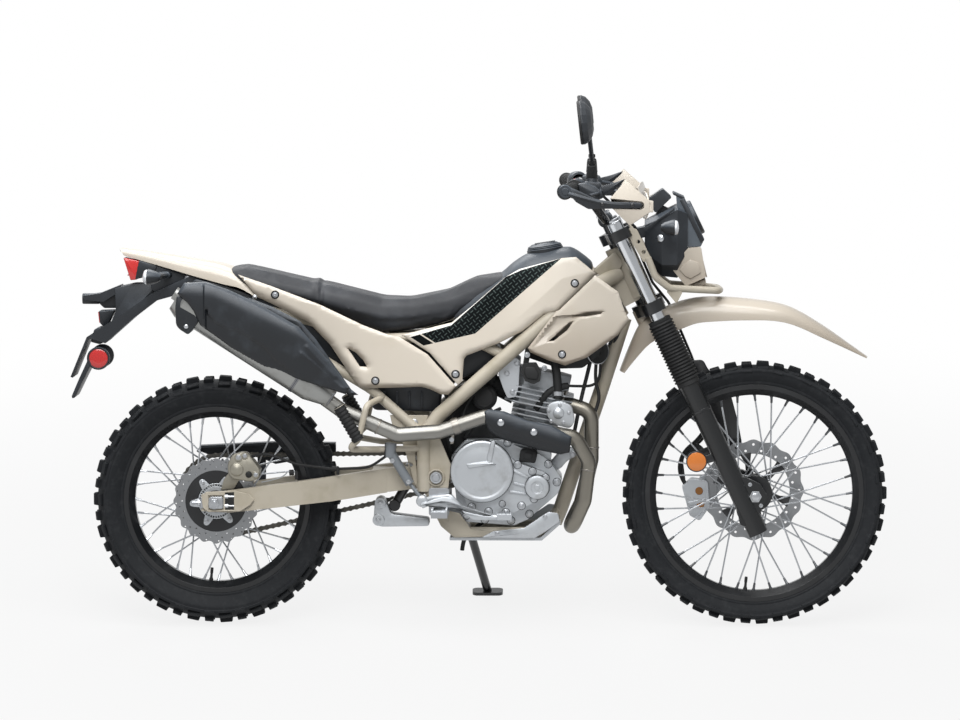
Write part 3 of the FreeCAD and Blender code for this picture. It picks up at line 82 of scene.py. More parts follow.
CAMERA_AT = Vector((958.1, -12000, 1579.3))
CAMERA_AIM = Vector((675.6, 0, 680.5))
PICTURE_WIDTH = 2465.3
SENSOR_WIDTH = 36
sight = CAMERA_AIM - CAMERA_AT
camera_data = bpy.data.cameras.new("photo_camera")
camera_data.sensor_width = SENSOR_WIDTH
camera_data.lens = SENSOR_WIDTH * sight.length / PICTURE_WIDTH
camera_data.clip_end = 100
camera = linked("photo_camera", camera_data)
turn = Matrix.Rotation(-LEAN, 3, "X") @ sight.to_track_quat("-Z", "Y").to_matrix()
camera.matrix_world = Matrix.Translation(STAND @ CAMERA_AT) @ turn.to_4x4()
bpy.context.scene.camera = camera
bpy.context.scene.view_settings.view_transform = "Standard"
print("lens", round(camera_data.lens, 1), "mm, camera at", [round(v, 2) for v in camera.location])

# %% [markdown]
# Shader maths reads best as sums. A Wire holds one output of a node, and adding, multiplying or comparing two
# wires adds the Math node that does it. A Finish is one material: it adds nodes by type, with their settings
# first and their inputs after, and connects what it is given to the shader.

# %% Wires that take part in sums
class Wire:
    """One output of a node, which takes part in sums."""
    def __init__(self, finish, socket):
        self.finish = finish
        self.socket = socket

    def maths(self, operation, *others):
        return self.finish.node("ShaderNodeMath", {"operation": operation}, [self, *others])

    def from_left(self, operation, other):
        return self.finish.node("ShaderNodeMath", {"operation": operation}, [other, self])

    def __add__(self, other):
        return self.maths("ADD", other)

    def __sub__(self, other):
        return self.maths("SUBTRACT", other)

    def __rsub__(self, other):
        return self.from_left("SUBTRACT", other)

    def __mul__(self, other):
        return self.maths("MULTIPLY", other)

    def __truediv__(self, other):
        return self.maths("DIVIDE", other)

    def __gt__(self, other):
        return self.maths("GREATER_THAN", other)

    def __lt__(self, other):
        return self.maths("LESS_THAN", other)

    def __abs__(self):
        return self.maths("ABSOLUTE")

    __radd__ = __add__
    __rmul__ = __mul__


# %% A finish and its nodes
def colour(code):
    """A colour written as on a paint card, turned into the shader's linear values."""
    parts = [int(code[i:i + 2], 16) / 255 for i in (0, 2, 4)]
    linear = [p / 12.92 if p <= 0.04045 else ((p + 0.055) / 1.055) ** 2.4 for p in parts]
    return (*linear, 1)


class Finish:
    """A material and its nodes."""
    def __init__(self, name, **constants):
        self.material = bpy.data.materials.new(name)
        self.material.use_nodes = True
        self.tree = self.material.node_tree
        self.shader = self.tree.nodes["Principled BSDF"]
        self.give(**constants)

    def node(self, kind, settings=None, inputs=(), output=0):
        made = self.tree.nodes.new(kind)
        for key, value in (settings or {}).items():
            if key == "stops":
                for stop in value[2:]:
                    made.color_ramp.elements.new(stop[0])
                for element, stop in zip(made.color_ramp.elements, value):
                    element.position, element.color = stop
            else:
                setattr(made, key, value)
        pairs = inputs.items() if isinstance(inputs, dict) else enumerate(inputs)
        for key, value in pairs:
            self.plug(made.inputs[key], value)
        return None if output is None else Wire(self, made.outputs[output])

    def plug(self, socket, value):
        if isinstance(value, Wire):
            self.tree.links.new(value.socket, socket)
        else:
            socket.default_value = value

    def give(self, **values):
        for key, value in values.items():
            self.plug(self.shader.inputs[key.replace("_", " ")], value)
        return self

    def place(self, turn=0.0, scale=1.0, about=(0, 0, 0)):
        """The drawing's millimetres at every point of the surface, about a chosen point."""
        spin = Matrix.Rotation(turn, 3, "Y")
        shift = spin @ (Matrix.Rotation(LEAN, 3, "X") @ DRAWING_ORIGIN - Vector(about))
        angles = (spin @ Matrix.Rotation(LEAN, 3, "X")).to_euler()
        spot = self.node("ShaderNodeTexCoord", output="Object")
        return self.node("ShaderNodeMapping", inputs={
            "Vector": spot, "Location": shift * scale, "Rotation": angles, "Scale": (1000 * scale,) * 3})

    def axes(self, place):
        made = self.node("ShaderNodeSeparateXYZ", inputs=[place])
        return [made] + [Wire(self, made.socket.node.outputs[i]) for i in (1, 2)]

    def noise(self, place, scale, detail=3.0, rough=0.5):
        return self.node("ShaderNodeTexNoise", inputs={
            "Vector": place, "Scale": scale, "Detail": detail, "Roughness": rough})

    def fade(self, value, low, high, first=0.0, last=1.0):
        """Goes smoothly from first to last while the value goes from low to high."""
        return self.node("ShaderNodeMapRange", {"interpolation_type": "SMOOTHSTEP"}, {
            "Value": value, "From Min": low, "From Max": high, "To Min": first, "To Max": last})

    def mix(self, first, second, factor):
        return self.node("ShaderNodeMix", {"data_type": "RGBA"}, {0: factor, 6: first, 7: second}, 2)

    def relief(self, height, depth, strength=1.0, rounding=0.0):
        """Raises the surface by a height pattern, over edges rounded by a radius in millimetres."""
        inputs = {"Height": height, "Distance": depth * 0.001, "Strength": strength}
        if rounding:
            inputs["Normal"] = self.node("ShaderNodeBevel", {"samples": 4}, {"Radius": rounding * 0.001})
        return self.give(Normal=self.node("ShaderNodeBump", inputs=inputs))


def dress(finish, *nodes):
    """Puts a finish on CAD nodes."""
    for name in nodes:
        mesh = frame["nodes"][name].data
        if not mesh.materials:
            mesh.materials.append(finish.material)
        for i in range(len(mesh.materials)):
            mesh.materials[i] = finish.material
    print(finish.material.name, "on", ", ".join(nodes))


# %% [markdown]
# The side panels, shrouds, mudguards and lamp mask are injection-moulded plastic in a warm sand colour with a
# soft gloss. Real moulded panels are never quite even: the gloss changes a little over a panel, a fine orange
# peel breaks up reflections, and road dust lies in patches. Each of those is one noise pattern here. Shade is
# painted into the colour too: it darkens where a panel faces down and, on some panels, low down.

# %% Sand-coloured panels
SAND = colour("d1c8ba")
KHAKI = colour("bbb3a3")


def sand_panel(name, bottom=0, top=1, deep=0.0, shallow=0.0):
    """Sand-coloured plastic, with painted shade where it faces down and low down: from deep at the bottom height to
    shallow at the top one.
    """
    finish = Finish(name, Coat_Weight=0.35, Coat_Roughness=0.12, Specular_IOR_Level=0.5)
    place = finish.place()
    clouds = finish.noise(place, 0.012, 4)
    peel = finish.noise(place, 0.35, 2)
    dust = finish.fade(clouds, 0.55, 0.8) * 0.25
    # Painted shade: the colour turns to a darker brown where the surface faces down and, between the given heights,
    # low down.
    facing = finish.axes(finish.node("ShaderNodeTexCoord", output="Normal"))[2]
    painted_low_shade = finish.fade(finish.axes(place)[2], bottom, top, deep, shallow)
    under = (finish.fade(facing, -0.4, 0.14, 0.6, 0.0) + painted_low_shade).maths("MINIMUM", 1)
    finish.give(Base_Color=finish.mix(finish.mix(SAND, colour("c3b8a2"), dust), colour("8f8272"), under),
                Roughness=0.3 + clouds * 0.12)
    return finish.relief(peel, 0.12, 0.25, 1.5), place


# The shroud, mudguard and mask copies differ only by painted shade low down, given by heights and amounts.
panels = {}
for name, node, painted_shade_span in (("sand_panel", "side_panels", ()), ("shroud_sand", "shrouds", (690, 850, 0.55)),
                            ("mudguard_sand", "front_fender", (720, 840, 0.6, 0.25)),
                            ("mask_sand", "lamp_mask", (870, 980, 0.5, 0.25))):
    panels[name], _ = sand_panel(name, *painted_shade_span)
    dress(panels[name], node)
sand = panels["sand_panel"]

# %% [markdown]
# The tank's side panel is the same plastic, with a long dark insert whose raised diamonds look like tread
# plate, a thin pale line along its top edge that is a painted highlight, and one slanted stripe at its lower rear
# end. They follow straight lines on the side view, so distances from those lines are enough to draw them.

# %% Tank panel with its dark insert
def stripe(finish, value, low, high, soft=0.6):
    """A band of a value between two limits, with soft edges."""
    return finish.fade(value, low - soft, low + soft) * finish.fade(value, high - soft, high + soft, 1.0, 0.0)


def along(finish, x, z, first, last):
    """How far a point lies above the straight line through two points of the side view."""
    slope = (last[1] - first[1]) / (last[0] - first[0])
    return z - x * slope - (first[1] - slope * first[0])


tank_sand, spot = sand_panel("tank_sand")
x, _, z = tank_sand.axes(spot)
UPPER_EDGE = [(526, 754), (605, 777), (743, 899), (783, 917), (890, 949)]
LOWER_EDGE = [(564, 732), (666, 756), (894, 956)]
DIAMOND_TURN, DIAMOND_PITCH = 41, 11
over = [along(tank_sand, x, z, a, b) for a, b in zip(UPPER_EDGE, UPPER_EDGE[1:])]
under = [along(tank_sand, x, z, a, b) for a, b in zip(LOWER_EDGE, LOWER_EDGE[1:])]
inside = over[0].maths("MINIMUM", over[1].maths("MAXIMUM", over[2]).maths("MAXIMUM", over[3]))
rear_cut = along(tank_sand, x, z, (526, 756.6), (564, 732.2))
insert = (inside < 0) * (under[0] > 0) * (under[1] > 0)
flash = stripe(tank_sand, rear_cut, -26, -4)
insert = insert * ((rear_cut > 0) + flash).maths("MINIMUM", 1)
u, _, v = tank_sand.axes(tank_sand.place(math.radians(DIAMOND_TURN)))
column, row = u / DIAMOND_PITCH, v / DIAMOND_PITCH
parity = (column.maths("FLOOR") + row.maths("FLOOR")).maths("PINGPONG", 1)
cu, cv = (cell.maths("FRACT") - 0.5 for cell in (column, row))
lying = (abs(cu) < 0.4) * (abs(cv) < 0.1)
standing = (abs(cv) < 0.4) * (abs(cu) < 0.1)
tread = (lying * parity + standing * (1 - parity)) * insert * (rear_cut > 0)
# Painted highlight: a thin pale line along the insert's upper edge.
painted_edge_highlight = stripe(tank_sand, inside, 0.5, 3.5) * (under[1] > 0) * (rear_cut > -26)
painted = tank_sand.mix(tank_sand.mix(SAND, colour("f4f2ec"), painted_edge_highlight), colour("0e1213"), insert)
tank_sand.give(Base_Color=tank_sand.mix(painted, colour("46504e"), tread), Roughness=0.34 + insert * 0.1,
               Coat_Weight=0.35 - insert * 0.35, Metallic=insert * 0.9)
tank_sand.relief(tread, 0.5, 0.6, 1.5)
dress(tank_sand, "tank_panels")

# %% [markdown]
# The frame and the swinging arm are welded steel in a khaki paint that is duller than the panels. Paint on a
# tube shows specks, stone chips low down where the wheels throw grit, and a slightly greasy film.

# %% Khaki frame paint
khaki = Finish("khaki_frame_paint", Coat_Weight=0.2, Coat_Roughness=0.25)
spot = khaki.place()
low = khaki.fade(khaki.axes(spot)[2], 250, 620, 1.0, 0.0)
specks = khaki.noise(spot, 0.22, 5, 0.65)
film = khaki.noise(spot, 0.015, 3)
chips = khaki.fade(specks, 0.7, 0.76) * low
coloured = khaki.mix(KHAKI, colour("9d937c"), khaki.fade(film, 0.45, 0.8) * 0.6)
khaki.give(Base_Color=khaki.mix(coloured, colour("5f5a4e"), chips), Roughness=0.42 + film * 0.15,
           Metallic=chips * 0.6)
khaki.relief(specks, 0.15, 0.3, 1.0)
dress(khaki, "frame_spine", "frame_cradle", "subframe", "swingarm", "lamp_guard", "pillion_pegs")

# %% [markdown]
# Black plastic covers most of what the sand panels leave: lamp cowl, heat cover, chain guard, plate carrier and
# hand controls. It is moulded with a fine leathery grain, greyer where hands and boots rub it. Where it faces up
# it is painted a lighter blue-grey, a painted sheen of the light above.

# %% Black plastics, paint and rubber
def black_part(name, shade, rough, grain, depth, coat=0.0, edge=1.2, painted_top_sheen=0.0):
    """Black plastic or paint; the last argument is how far the parts that face up are painted lighter, a painted sheen
    of the light above.
    """
    finish = Finish(name, Coat_Weight=coat, Coat_Roughness=0.15)
    place = finish.place()
    clouds = finish.noise(place, 0.015, 4)
    fine = finish.noise(place, grain, 3)
    worn = finish.fade(clouds, 0.5, 0.85) * 0.3
    # Painted sheen: parts that face up are painted towards blue-grey, on top of the wear patches.
    if painted_top_sheen:
        facing = finish.axes(finish.node("ShaderNodeTexCoord", output="Normal"))[2]
        worn = worn + finish.fade(facing, 0.05, 0.75) * painted_top_sheen
    finish.give(Base_Color=finish.mix(colour(shade), colour("59616a" if painted_top_sheen else "3a3d40"), worn),
                Roughness=rough + clouds * 0.14)
    return finish.relief(fine, depth, 0.35, edge)


black_plastic = black_part("black_plastic", "15191e", 0.38, 0.9, 0.12, painted_top_sheen=0.45)
dress(black_plastic, "lamp_cowl", "exhaust_covers", "chain_guard", "plate_carrier", "hand_controls", "instruments",
    "tank", "tail_lamp")
dress(black_part("mirror_shell", "272b30", 0.5, 0.9, 0.06), "mirrors")
black_paint = black_part("black_paint", "0f1114", 0.28, 0.3, 0.05, coat=0.4)
dress(black_paint, "front_rim", "rear_rim", "fork_legs", "front_hub", "rear_hub", "triple_clamps", "stand_bracket",
    "side_stand", "front_signals", "rear_signals", "handlebar")
black_rubber = black_part("black_rubber", "141516", 0.6, 0.5, 0.15)
dress(black_rubber, "gaiters", "intake", "front_hose")

# %% [markdown]
# Bare metal is where a machine shows its age and making: sand-cast covers have a fine pebbled skin, turned parts
# have rings, sheet has a grain, and steel pipes colour with heat. The base is the same, and the pattern differs.

# %% Metals
def metal_part(name, shade, rough, scale, depth, metallic=1.0, edge=0.8, stain="6f6a62", stained=0.35):
    """Bare metal with faint stains; scale and depth are those of its grain."""
    finish = Finish(name)
    place = finish.place()
    clouds = finish.noise(place, 0.02, 5, 0.6)
    fine = finish.noise(place, scale, 3)
    finish.give(Base_Color=finish.mix(colour(shade), colour(stain), finish.fade(clouds, 0.48, 0.8) * stained),
                Roughness=rough + clouds * 0.16, Metallic=metallic)
    return finish.relief(fine, depth, 0.4, edge)


cast_alloy = metal_part("cast_alloy", "c2c6ca", 0.34, 0.55, 0.12, metallic=0.75, edge=2.5)
dress(cast_alloy, "engine_cases", "rear_caliper", "front_brake", "foot_levers", "skid_plate")
fin_paint = metal_part("fin_paint", "b4b8bc", 0.42, 0.4, 0.15, metallic=0.35)
dress(fin_paint, "engine_cylinder")
zinc_steel = metal_part("zinc_steel", "b9bcc0", 0.26, 0.3, 0.03)
dress(zinc_steel, "front_spokes", "rear_spokes", "front_axle", "rear_axle", "drive_sprocket", "foot_pegs",
    "rear_shock", "rear_sprocket", "chain")
dress(metal_part("muffler_metal", "9b9c9a", 0.3, 0.25, 0.03, metallic=0.9), "muffler")

# %% [markdown]
# A brake disc is ground flat, so its scratches run round the axle. Distance from the axle, broken by a little
# noise, gives rings. Each disc needs its own, because the rings are drawn about its axle.

# %% Ground discs
def disc_steel(name, axle):
    """Ground steel whose scratches run round an axle."""
    finish = Finish(name, Metallic=1.0)
    x, _, z = finish.axes(finish.place(about=axle))
    radius = (x * x + z * z).maths("SQRT")
    rings = finish.node("ShaderNodeTexNoise", {"noise_dimensions": "1D"}, {"W": radius * 1.4, "Detail": 3.0})
    finish.give(Base_Color=finish.mix(colour("a7a9ab"), colour("8b8d90"), rings), Roughness=0.26 + rings * 0.2)
    return finish.relief(rings, 0.05, 0.5, 0.5)


# %% [markdown]
# The header is bare stainless steel. Heat has turned it straw and brown near the cylinder, and greyer behind.

# %% Heat-coloured header
header = Finish("header_steel", Metallic=1.0)
spot = header.place()
clouds = header.noise(spot, 0.02, 4)
heat = header.fade(header.axes(spot)[0] + clouds * 160, 520, 1000)
warm = header.node("ShaderNodeValToRGB", {"stops": [
    (0.0, colour("8f8e8a")), (1.0, colour("7e7b74")), (0.55, colour("93918b")), (0.8, colour("89857c"))]}, [heat])
header.give(Base_Color=warm, Roughness=0.3 + clouds * 0.2)
header.relief(header.noise(spot, 0.4, 3), 0.04, 0.4)
dress(header, "exhaust_pipe")

# %% [markdown]
# The rear master cylinder and its hose are one CAD node, so its paint turns to rubber where the hose begins.

# %% Rear master cylinder and hose
master = Finish("master_paint_and_hose")
spot = master.place()
hose = master.fade(master.axes(spot)[0], 436, 440, 1.0, 0.0)
fine = master.noise(spot, 0.4, 3)
master.give(Base_Color=master.mix(colour("83888d"), colour("121314"), hose), Metallic=0.4 - hose * 0.4,
            Roughness=0.4 + hose * 0.2 + fine * 0.1)
master.relief(fine, 0.08, 0.4, 1.0)
dress(master, "rear_master")

# %% [markdown]
# New pieces are modelled as a maker would: a bar is turned, a sheet is cut and bent, a block is milled. Each of
# the helpers below does one of those with bmesh operators, in the drawing's millimetres, and lays its shape on the
# bench. twin() adds the mirror image of all that lies there. A finished piece is stood on its wheels by the one
# matrix and given to a body of the frame, and the bench is empty again.

# %% Shapes by turning, cutting and bending
bench = bmesh.new()


def gather(made):
    """Lays a finished shape on the bench."""
    holder = bpy.data.meshes.new("holder")
    made.to_mesh(holder)
    bench.from_mesh(holder)
    bpy.data.meshes.remove(holder)
    made.free()


def twin():
    """Gives all that lies on the bench its mirror image on the machine's other side."""
    made = bench.copy()
    made.transform(Matrix.Scale(-1, 4, LEFT))
    bmesh.ops.reverse_faces(made, faces=made.faces)
    gather(made)


def spun(made, line, axis, steps, closed=False):
    """Turns a line of points a full turn about an axis."""
    verts = [made.verts.new(point) for point in line]
    edges = [made.edges.new(pair) for pair in zip(verts, verts[1:] + verts[:1] if closed else verts[1:])]
    bmesh.ops.spin(made, geom=verts + edges, axis=axis, angle=math.tau, steps=steps, use_merge=True)


def facing_at(at, axis):
    """Moves what is drawn on the z axis to a point and turns it along another axis."""
    return Matrix.Translation(at) @ Vector(axis).to_track_quat("Z", "Y").to_matrix().to_4x4()


def turned(profile, at, axis, steps=24, wide=1.0):
    """Turns a line of (radius, height) points about an axis, with height along it; wide makes it oval."""
    made = bmesh.new()
    spun(made, [(r, 0, h) for r, h in profile], (0, 0, 1), steps)
    bmesh.ops.remove_doubles(made, verts=made.verts, dist=0.001)
    bmesh.ops.recalc_face_normals(made, faces=made.faces)
    made.transform(Matrix.Scale(wide, 4, (1, 0, 0)))
    made.transform(facing_at(at, axis))
    gather(made)


def thickened(made, y0, y1):
    """Gives a flat face its thickness."""
    for vert in made.verts:
        vert.co.y = y0
    grown = bmesh.ops.extrude_face_region(made, geom=made.faces[:])
    bmesh.ops.translate(made, verts=[v for v in grown["geom"] if isinstance(v, bmesh.types.BMVert)],
                        vec=(0, y1 - y0, 0))
    bmesh.ops.recalc_face_normals(made, faces=made.faces)


def level(edge):
    """Whether an edge lies in a face of a plate, rather than across its thickness."""
    return len({round(v.co.y, 3) for v in edge.verts}) == 1


def slab(points, y0, y1, corner=0.0, edge=0.0, place=Matrix()):
    """Cuts a plate from its side view, rounds its corners and breaks its edges."""
    made = bmesh.new()
    made.faces.new([made.verts.new((x, y0, z)) for x, z in points])
    if corner:
        bmesh.ops.bevel(made, geom=made.verts[:], offset=corner, affect="VERTICES", segments=3, profile=0.5,
                        material=-1)
    thickened(made, y0, y1)
    if edge:
        bmesh.ops.bevel(made, geom=[e for e in made.edges if level(e)], offset=edge, affect="EDGES", segments=2,
                        profile=0.5, material=-1)
    made.transform(place)
    gather(made)


def from_curve(curve):
    """The mesh of a curve, which isn't needed any more."""
    holder = bpy.data.objects.new("line", curve)
    mesh = bpy.data.meshes.new_from_object(holder)
    made = bmesh.new()
    made.from_mesh(mesh)
    bpy.data.objects.remove(holder)
    bpy.data.curves.remove(curve)
    bpy.data.meshes.remove(mesh)
    return made


def bent(points, radius):
    """Draws a rod, cable or hose along a smooth line."""
    line = bpy.data.curves.new("line", "CURVE")
    line.dimensions = "3D"
    line.bevel_depth = radius
    line.bevel_resolution = 3
    line.resolution_u = 6
    line.use_fill_caps = True
    run = line.splines.new("NURBS")
    run.points.add(len(points) - 1)
    for spot, point in zip(run.points, points):
        spot.co = (*point, 1)
    run.order_u = 3
    run.use_endpoint_u = True
    made = from_curve(line)
    bmesh.ops.recalc_face_normals(made, faces=made.faces)
    gather(made)


def flat_sheet(lines):
    """A flat face with holes on the side view, from closed lines of (x, z) points."""
    sheet = bpy.data.curves.new("sheet", "CURVE")
    sheet.dimensions = "2D"
    sheet.fill_mode = "BOTH"
    for line in lines:
        run = sheet.splines.new("POLY")
        run.points.add(len(line) - 1)
        for spot, (x, z) in zip(run.points, line):
            spot.co = (x, z, 0, 1)
        run.use_cyclic_u = True
    made = from_curve(sheet)
    bmesh.ops.remove_doubles(made, verts=made.verts, dist=0.01)
    made.transform(Matrix.Rotation(math.pi / 2, 4, "X"))
    return made


def thick_sheet(lines, y0, y1, edge=0.0, place=Matrix()):
    """A plate with holes, from closed lines on the side view."""
    made = flat_sheet(lines)
    thickened(made, y0, y1)
    if edge:
        rims = [e for e in made.edges if len(e.link_faces) == 2 and e.calc_face_angle(0) > 0.8 and level(e)]
        bmesh.ops.bevel(made, geom=rims, offset=edge, affect="EDGES", segments=1, profile=0.5, material=-1)
    made.transform(place)
    gather(made)


def round_point(radius, angle, y=0.0):
    """The point at a radius and an angle about an axle."""
    return Vector((radius * math.cos(angle), y, radius * math.sin(angle)))


def circle(x, z, radius, count=20, start=0.0):
    """Points evenly round a circle on the side view; start is a part of the step between two."""
    spots = [round_point(radius, math.tau * (i + start) / count) for i in range(count)]
    return [(x + spot.x, z + spot.z) for spot in spots]


def piece(name, body, finish, replaces=(), sharp=35):
    """Stands what lies on the bench on the parked machine and gives it its body, finish and material slot."""
    global bench
    bench.transform(STAND)
    mesh = bpy.data.meshes.new(name)
    bench.to_mesh(mesh)
    bench.free()
    bench = bmesh.new()
    mesh.polygons.foreach_set("use_smooth", [True] * len(mesh.polygons))
    mesh.set_sharp_from_angle(angle=math.radians(sharp))
    mesh.materials.append(finish.material)
    made = linked(name, mesh)
    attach(made, body)
    if replaces:
        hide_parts(*replaces)
    mesh.calc_loop_triangles()
    print(name, "on", body, len(mesh.loop_triangles), "triangles")


# %% [markdown]
# A bolt has to sit on the surface that it holds. Instead of measuring each height by hand, a straight ray is sent
# across the machine at the bolt's place on the side view, and the CAD surface that it meets gives the depth and
# the direction in which the bolt stands out.

# %% Finding a surface from the side
OUTSIDE = 600
surfaces = {}


def skin(node, x, z, side=-1):
    """The outer point of a CAD node at a place on the side view, and the way its surface faces."""
    if node not in surfaces:
        made = bmesh.new()
        made.from_mesh(frame["nodes"][node].data)
        made.transform(DRAWN)
        surfaces[node] = BVHTree.FromBMesh(made)
        made.free()
    at, facing, _, _ = surfaces[node].ray_cast(Vector((x, side * OUTSIDE, z)), Vector((0, -side, 0)))
    if at is None:
        raise ValueError(f"{node} has no surface at {x}, {z}")
    if facing.y * side < 0:
        facing = -facing
    return at, facing


BOLT_HEAD = [(0, 0.2), (2.0, 0.2), (2.3, 4.2), (4.6, 4.2), (5.4, 3.4), (5.6, 1.6), (8.2, 1.4), (8.6, 0.7), (8.6, -1.5)]
HEX_HEAD = [(0, 5.0), (4.6, 5.0), (5.5, 4.2), (5.5, 1.2)]
FLANGE = [(0, 1.2), (6.6, 1.2), (7.6, 0.4), (7.6, -1.5)]


def scaled(profile, across, high):
    """A profile made wider and taller by two factors."""
    return [(r * across, h * high) for r, h in profile]


def bolt(at, facing, size=1.0):
    """A button-headed Allen bolt on its washer."""
    turned(scaled(BOLT_HEAD, size, size), at, facing, 18)


def hex_bolt(at, facing, size=1.0):
    """A six-sided bolt head on a round flange."""
    turned(scaled(HEX_HEAD, size, size), at, facing, 6)
    turned(scaled(FLANGE, size, size), at, facing, 18)


# %% [markdown]
# Trail tyres carry separate rubber blocks so that mud can leave between them. A block is a cube with broken
# edges, set square to the crown; one pitch of blocks is repeated round the wheel. The carcass is one line
# turned about the axle, with the ribs and steps that the sidewall has. The carcass line ends inside the rim.

# %% Tyres
tyre_rubber = Finish("tyre_rubber", Specular_IOR_Level=0.35)
spot = tyre_rubber.place()
dust = tyre_rubber.noise(spot, 0.05, 5, 0.6)
pores = tyre_rubber.noise(spot, 0.8, 3)
dusty = tyre_rubber.fade(dust, 0.45, 0.8) * 0.7
tyre_rubber.give(Base_Color=tyre_rubber.mix(colour("13161a"), colour("2f3133"), dusty), Roughness=0.62 + dust * 0.2)
tyre_rubber.relief(pores, 0.15, 0.4)

TREAD_DEPTH, BLOCK_TAPER, BLOCK_EDGE = 10.5, 0.86, 1.1
CROWN_POINTS, CROWN_FLATTENED, CARCASS_STEPS = 9, 0.94, 120


def block(radius, crown, lateral, length, width, depth, turn, skew=0.0, lean=0.0):
    """One tread block: its top lies on the crown at an angle lateral from the middle."""
    made = bmesh.new()
    bmesh.ops.create_cube(made, size=1)
    for vert in made.verts:
        wide = BLOCK_TAPER if vert.co.z > 0 else 1.0
        vert.co = Vector((vert.co.x * length * wide, vert.co.y * width * wide, (vert.co.z - 0.5) * depth))
    bmesh.ops.bevel(made, geom=made.edges[:], offset=BLOCK_EDGE, affect="EDGES", segments=1, profile=0.5,
                    material=-1)
    made.transform(Matrix.Rotation(lean, 4, "X") @ Matrix.Rotation(skew, 4, "Z"))
    made.transform(Matrix.Translation((0, 0, radius - crown)) @ Matrix.Rotation(-lateral, 4, "X")
                   @ Matrix.Translation((0, 0, crown)))
    made.transform(Matrix.Rotation(turn, 4, "Y"))
    gather(made)


def tyre(name, axle, radius, half, crown, rim, rim_half, edge_angle, pitches, body, middle, flank):
    """The carcass from its half section, then rows of blocks on the crown's middle and flanks."""
    base = radius - TREAD_DEPTH
    wall = (rim + radius) / 2
    section = [(rim - 7, rim_half - 5), (rim + 2, rim_half - 3), (rim + 7, rim_half + 1), (rim + 9, rim_half + 1.5),
        (rim + 12, rim_half + 1), (wall - 8, half - 4.5), (wall, half - 3), (wall + 5, half - 2.4),
        (wall + 7, half - 1), (wall + 10, half - 1), (wall + 13, half - 2.5)]
    for i in range(CROWN_POINTS):
        lateral = math.radians(edge_angle * (1 - i / (CROWN_POINTS - 1)))
        section.append((base - crown + crown * math.cos(lateral), crown * math.sin(lateral) * CROWN_FLATTENED))
    section += [(r, -y) for r, y in reversed(section[:-1])]
    made = bmesh.new()
    spun(made, [(0, y, r) for r, y in section], LEFT, CARCASS_STEPS, closed=True)
    bmesh.ops.recalc_face_normals(made, faces=made.faces)
    gather(made)
    for rows, sunk, depth in ((middle, 0, 13), (flank, 1.5, 15)):
        for lateral, length, width, shift, skew, lean in rows:
            for i in range(pitches * 2):
                side = 1 if i % 2 else -1
                block(radius - sunk, crown, math.radians(side * lateral), length, width, depth,
                      (i // 2 + shift) * math.tau / pitches, side * math.radians(skew), side * math.radians(lean))
    bench.transform(Matrix.Translation(axle))
    print(name, "lowest point", round(min((STAND @ v.co).z for v in bench.verts) * 1000, 2), "mm")
    piece(name, body, tyre_rubber, [name.replace("_tread", "")], sharp=32)


tyre("rear_tyre_tread", REAR_AXLE, 320, 52, 60, 236, 31, 62, 23, "rear_wheel", [(9.5, 34, 15, 0.25, 0, 0),
    (25, 26, 13, 0.75, 4, 0)], [(42, 34, 14, 0.25, -6, 4), (56, 30, 12, 0.75, 4, 6)])
tyre("front_tyre_tread", FRONT_AXLE, 340, 39, 46, 276, 25, 56, 25, "front_wheel", [(9.5, 34, 12, 0.25, 0, 0),
    (26, 28, 11, 0.75, 4, 0)], [(45, 34, 11, 0.25, -6, 4), (57, 28, 9, 0.75, 4, 6)])

# %% [markdown]
# The chain is two rows of figure-eight plates on steel rollers. Inner and outer pairs alternate, so every link is
# drawn once as a narrow pair and once as a wide one, and laid along the loop that the CAD chain follows: round
# the rear sprocket, along the lower run, round the drive sprocket and back.

# %% Chain
chain_steel = metal_part("chain_steel", "66645f", 0.36, 0.5, 0.05, stain="2a2824", stained=0.9)
CHAIN_PITCH, CHAIN_Y = 15.875, 66.0
DRIVE = Vector((640, 0, 398))
REAR_TEETH, DRIVE_TEETH = 42, 15
OUTER_PLATE, INNER_PLATE, ROLLER, PIN = 7.2, 5.0, 4.6, 2.6


def pitch_radius(teeth):
    """The radius at which a chain's pins lie on a sprocket."""
    return CHAIN_PITCH / (2 * math.sin(math.pi / teeth))


def chain_places():
    """The middle and the heading of every link, evenly round the loop, and the step between two."""
    big, small = pitch_radius(REAR_TEETH), pitch_radius(DRIVE_TEETH)
    run = DRIVE - REAR_AXLE
    tilt = math.atan2(run.z, run.x)
    opening = math.asin((big - small) / math.hypot(run.x, run.z))
    top, bottom = tilt + math.pi / 2 - opening, tilt - math.pi / 2 + opening
    straight = math.sqrt(run.x ** 2 + run.z ** 2 - (big - small) ** 2)
    legs = [(small * (top - bottom), DRIVE, small, top), (straight, DRIVE, small, bottom),
        (big * (math.tau - top + bottom), REAR_AXLE, big, bottom), (straight, REAR_AXLE, big, top)]
    total = sum(leg[0] for leg in legs)
    count = int(total / CHAIN_PITCH / 2) * 2
    places = []
    for i in range(count):
        s = (i + 0.5) * total / count
        for k, (length, centre, radius, angle) in enumerate(legs):
            if s < length:
                break
            s -= length
        a = angle if k % 2 else angle - s / radius
        heading = a - math.pi / 2
        spot = centre + round_point(radius, a) + round_point(s if k % 2 else 0, heading)
        places.append((spot.x, spot.z, heading))
    return places, total / count


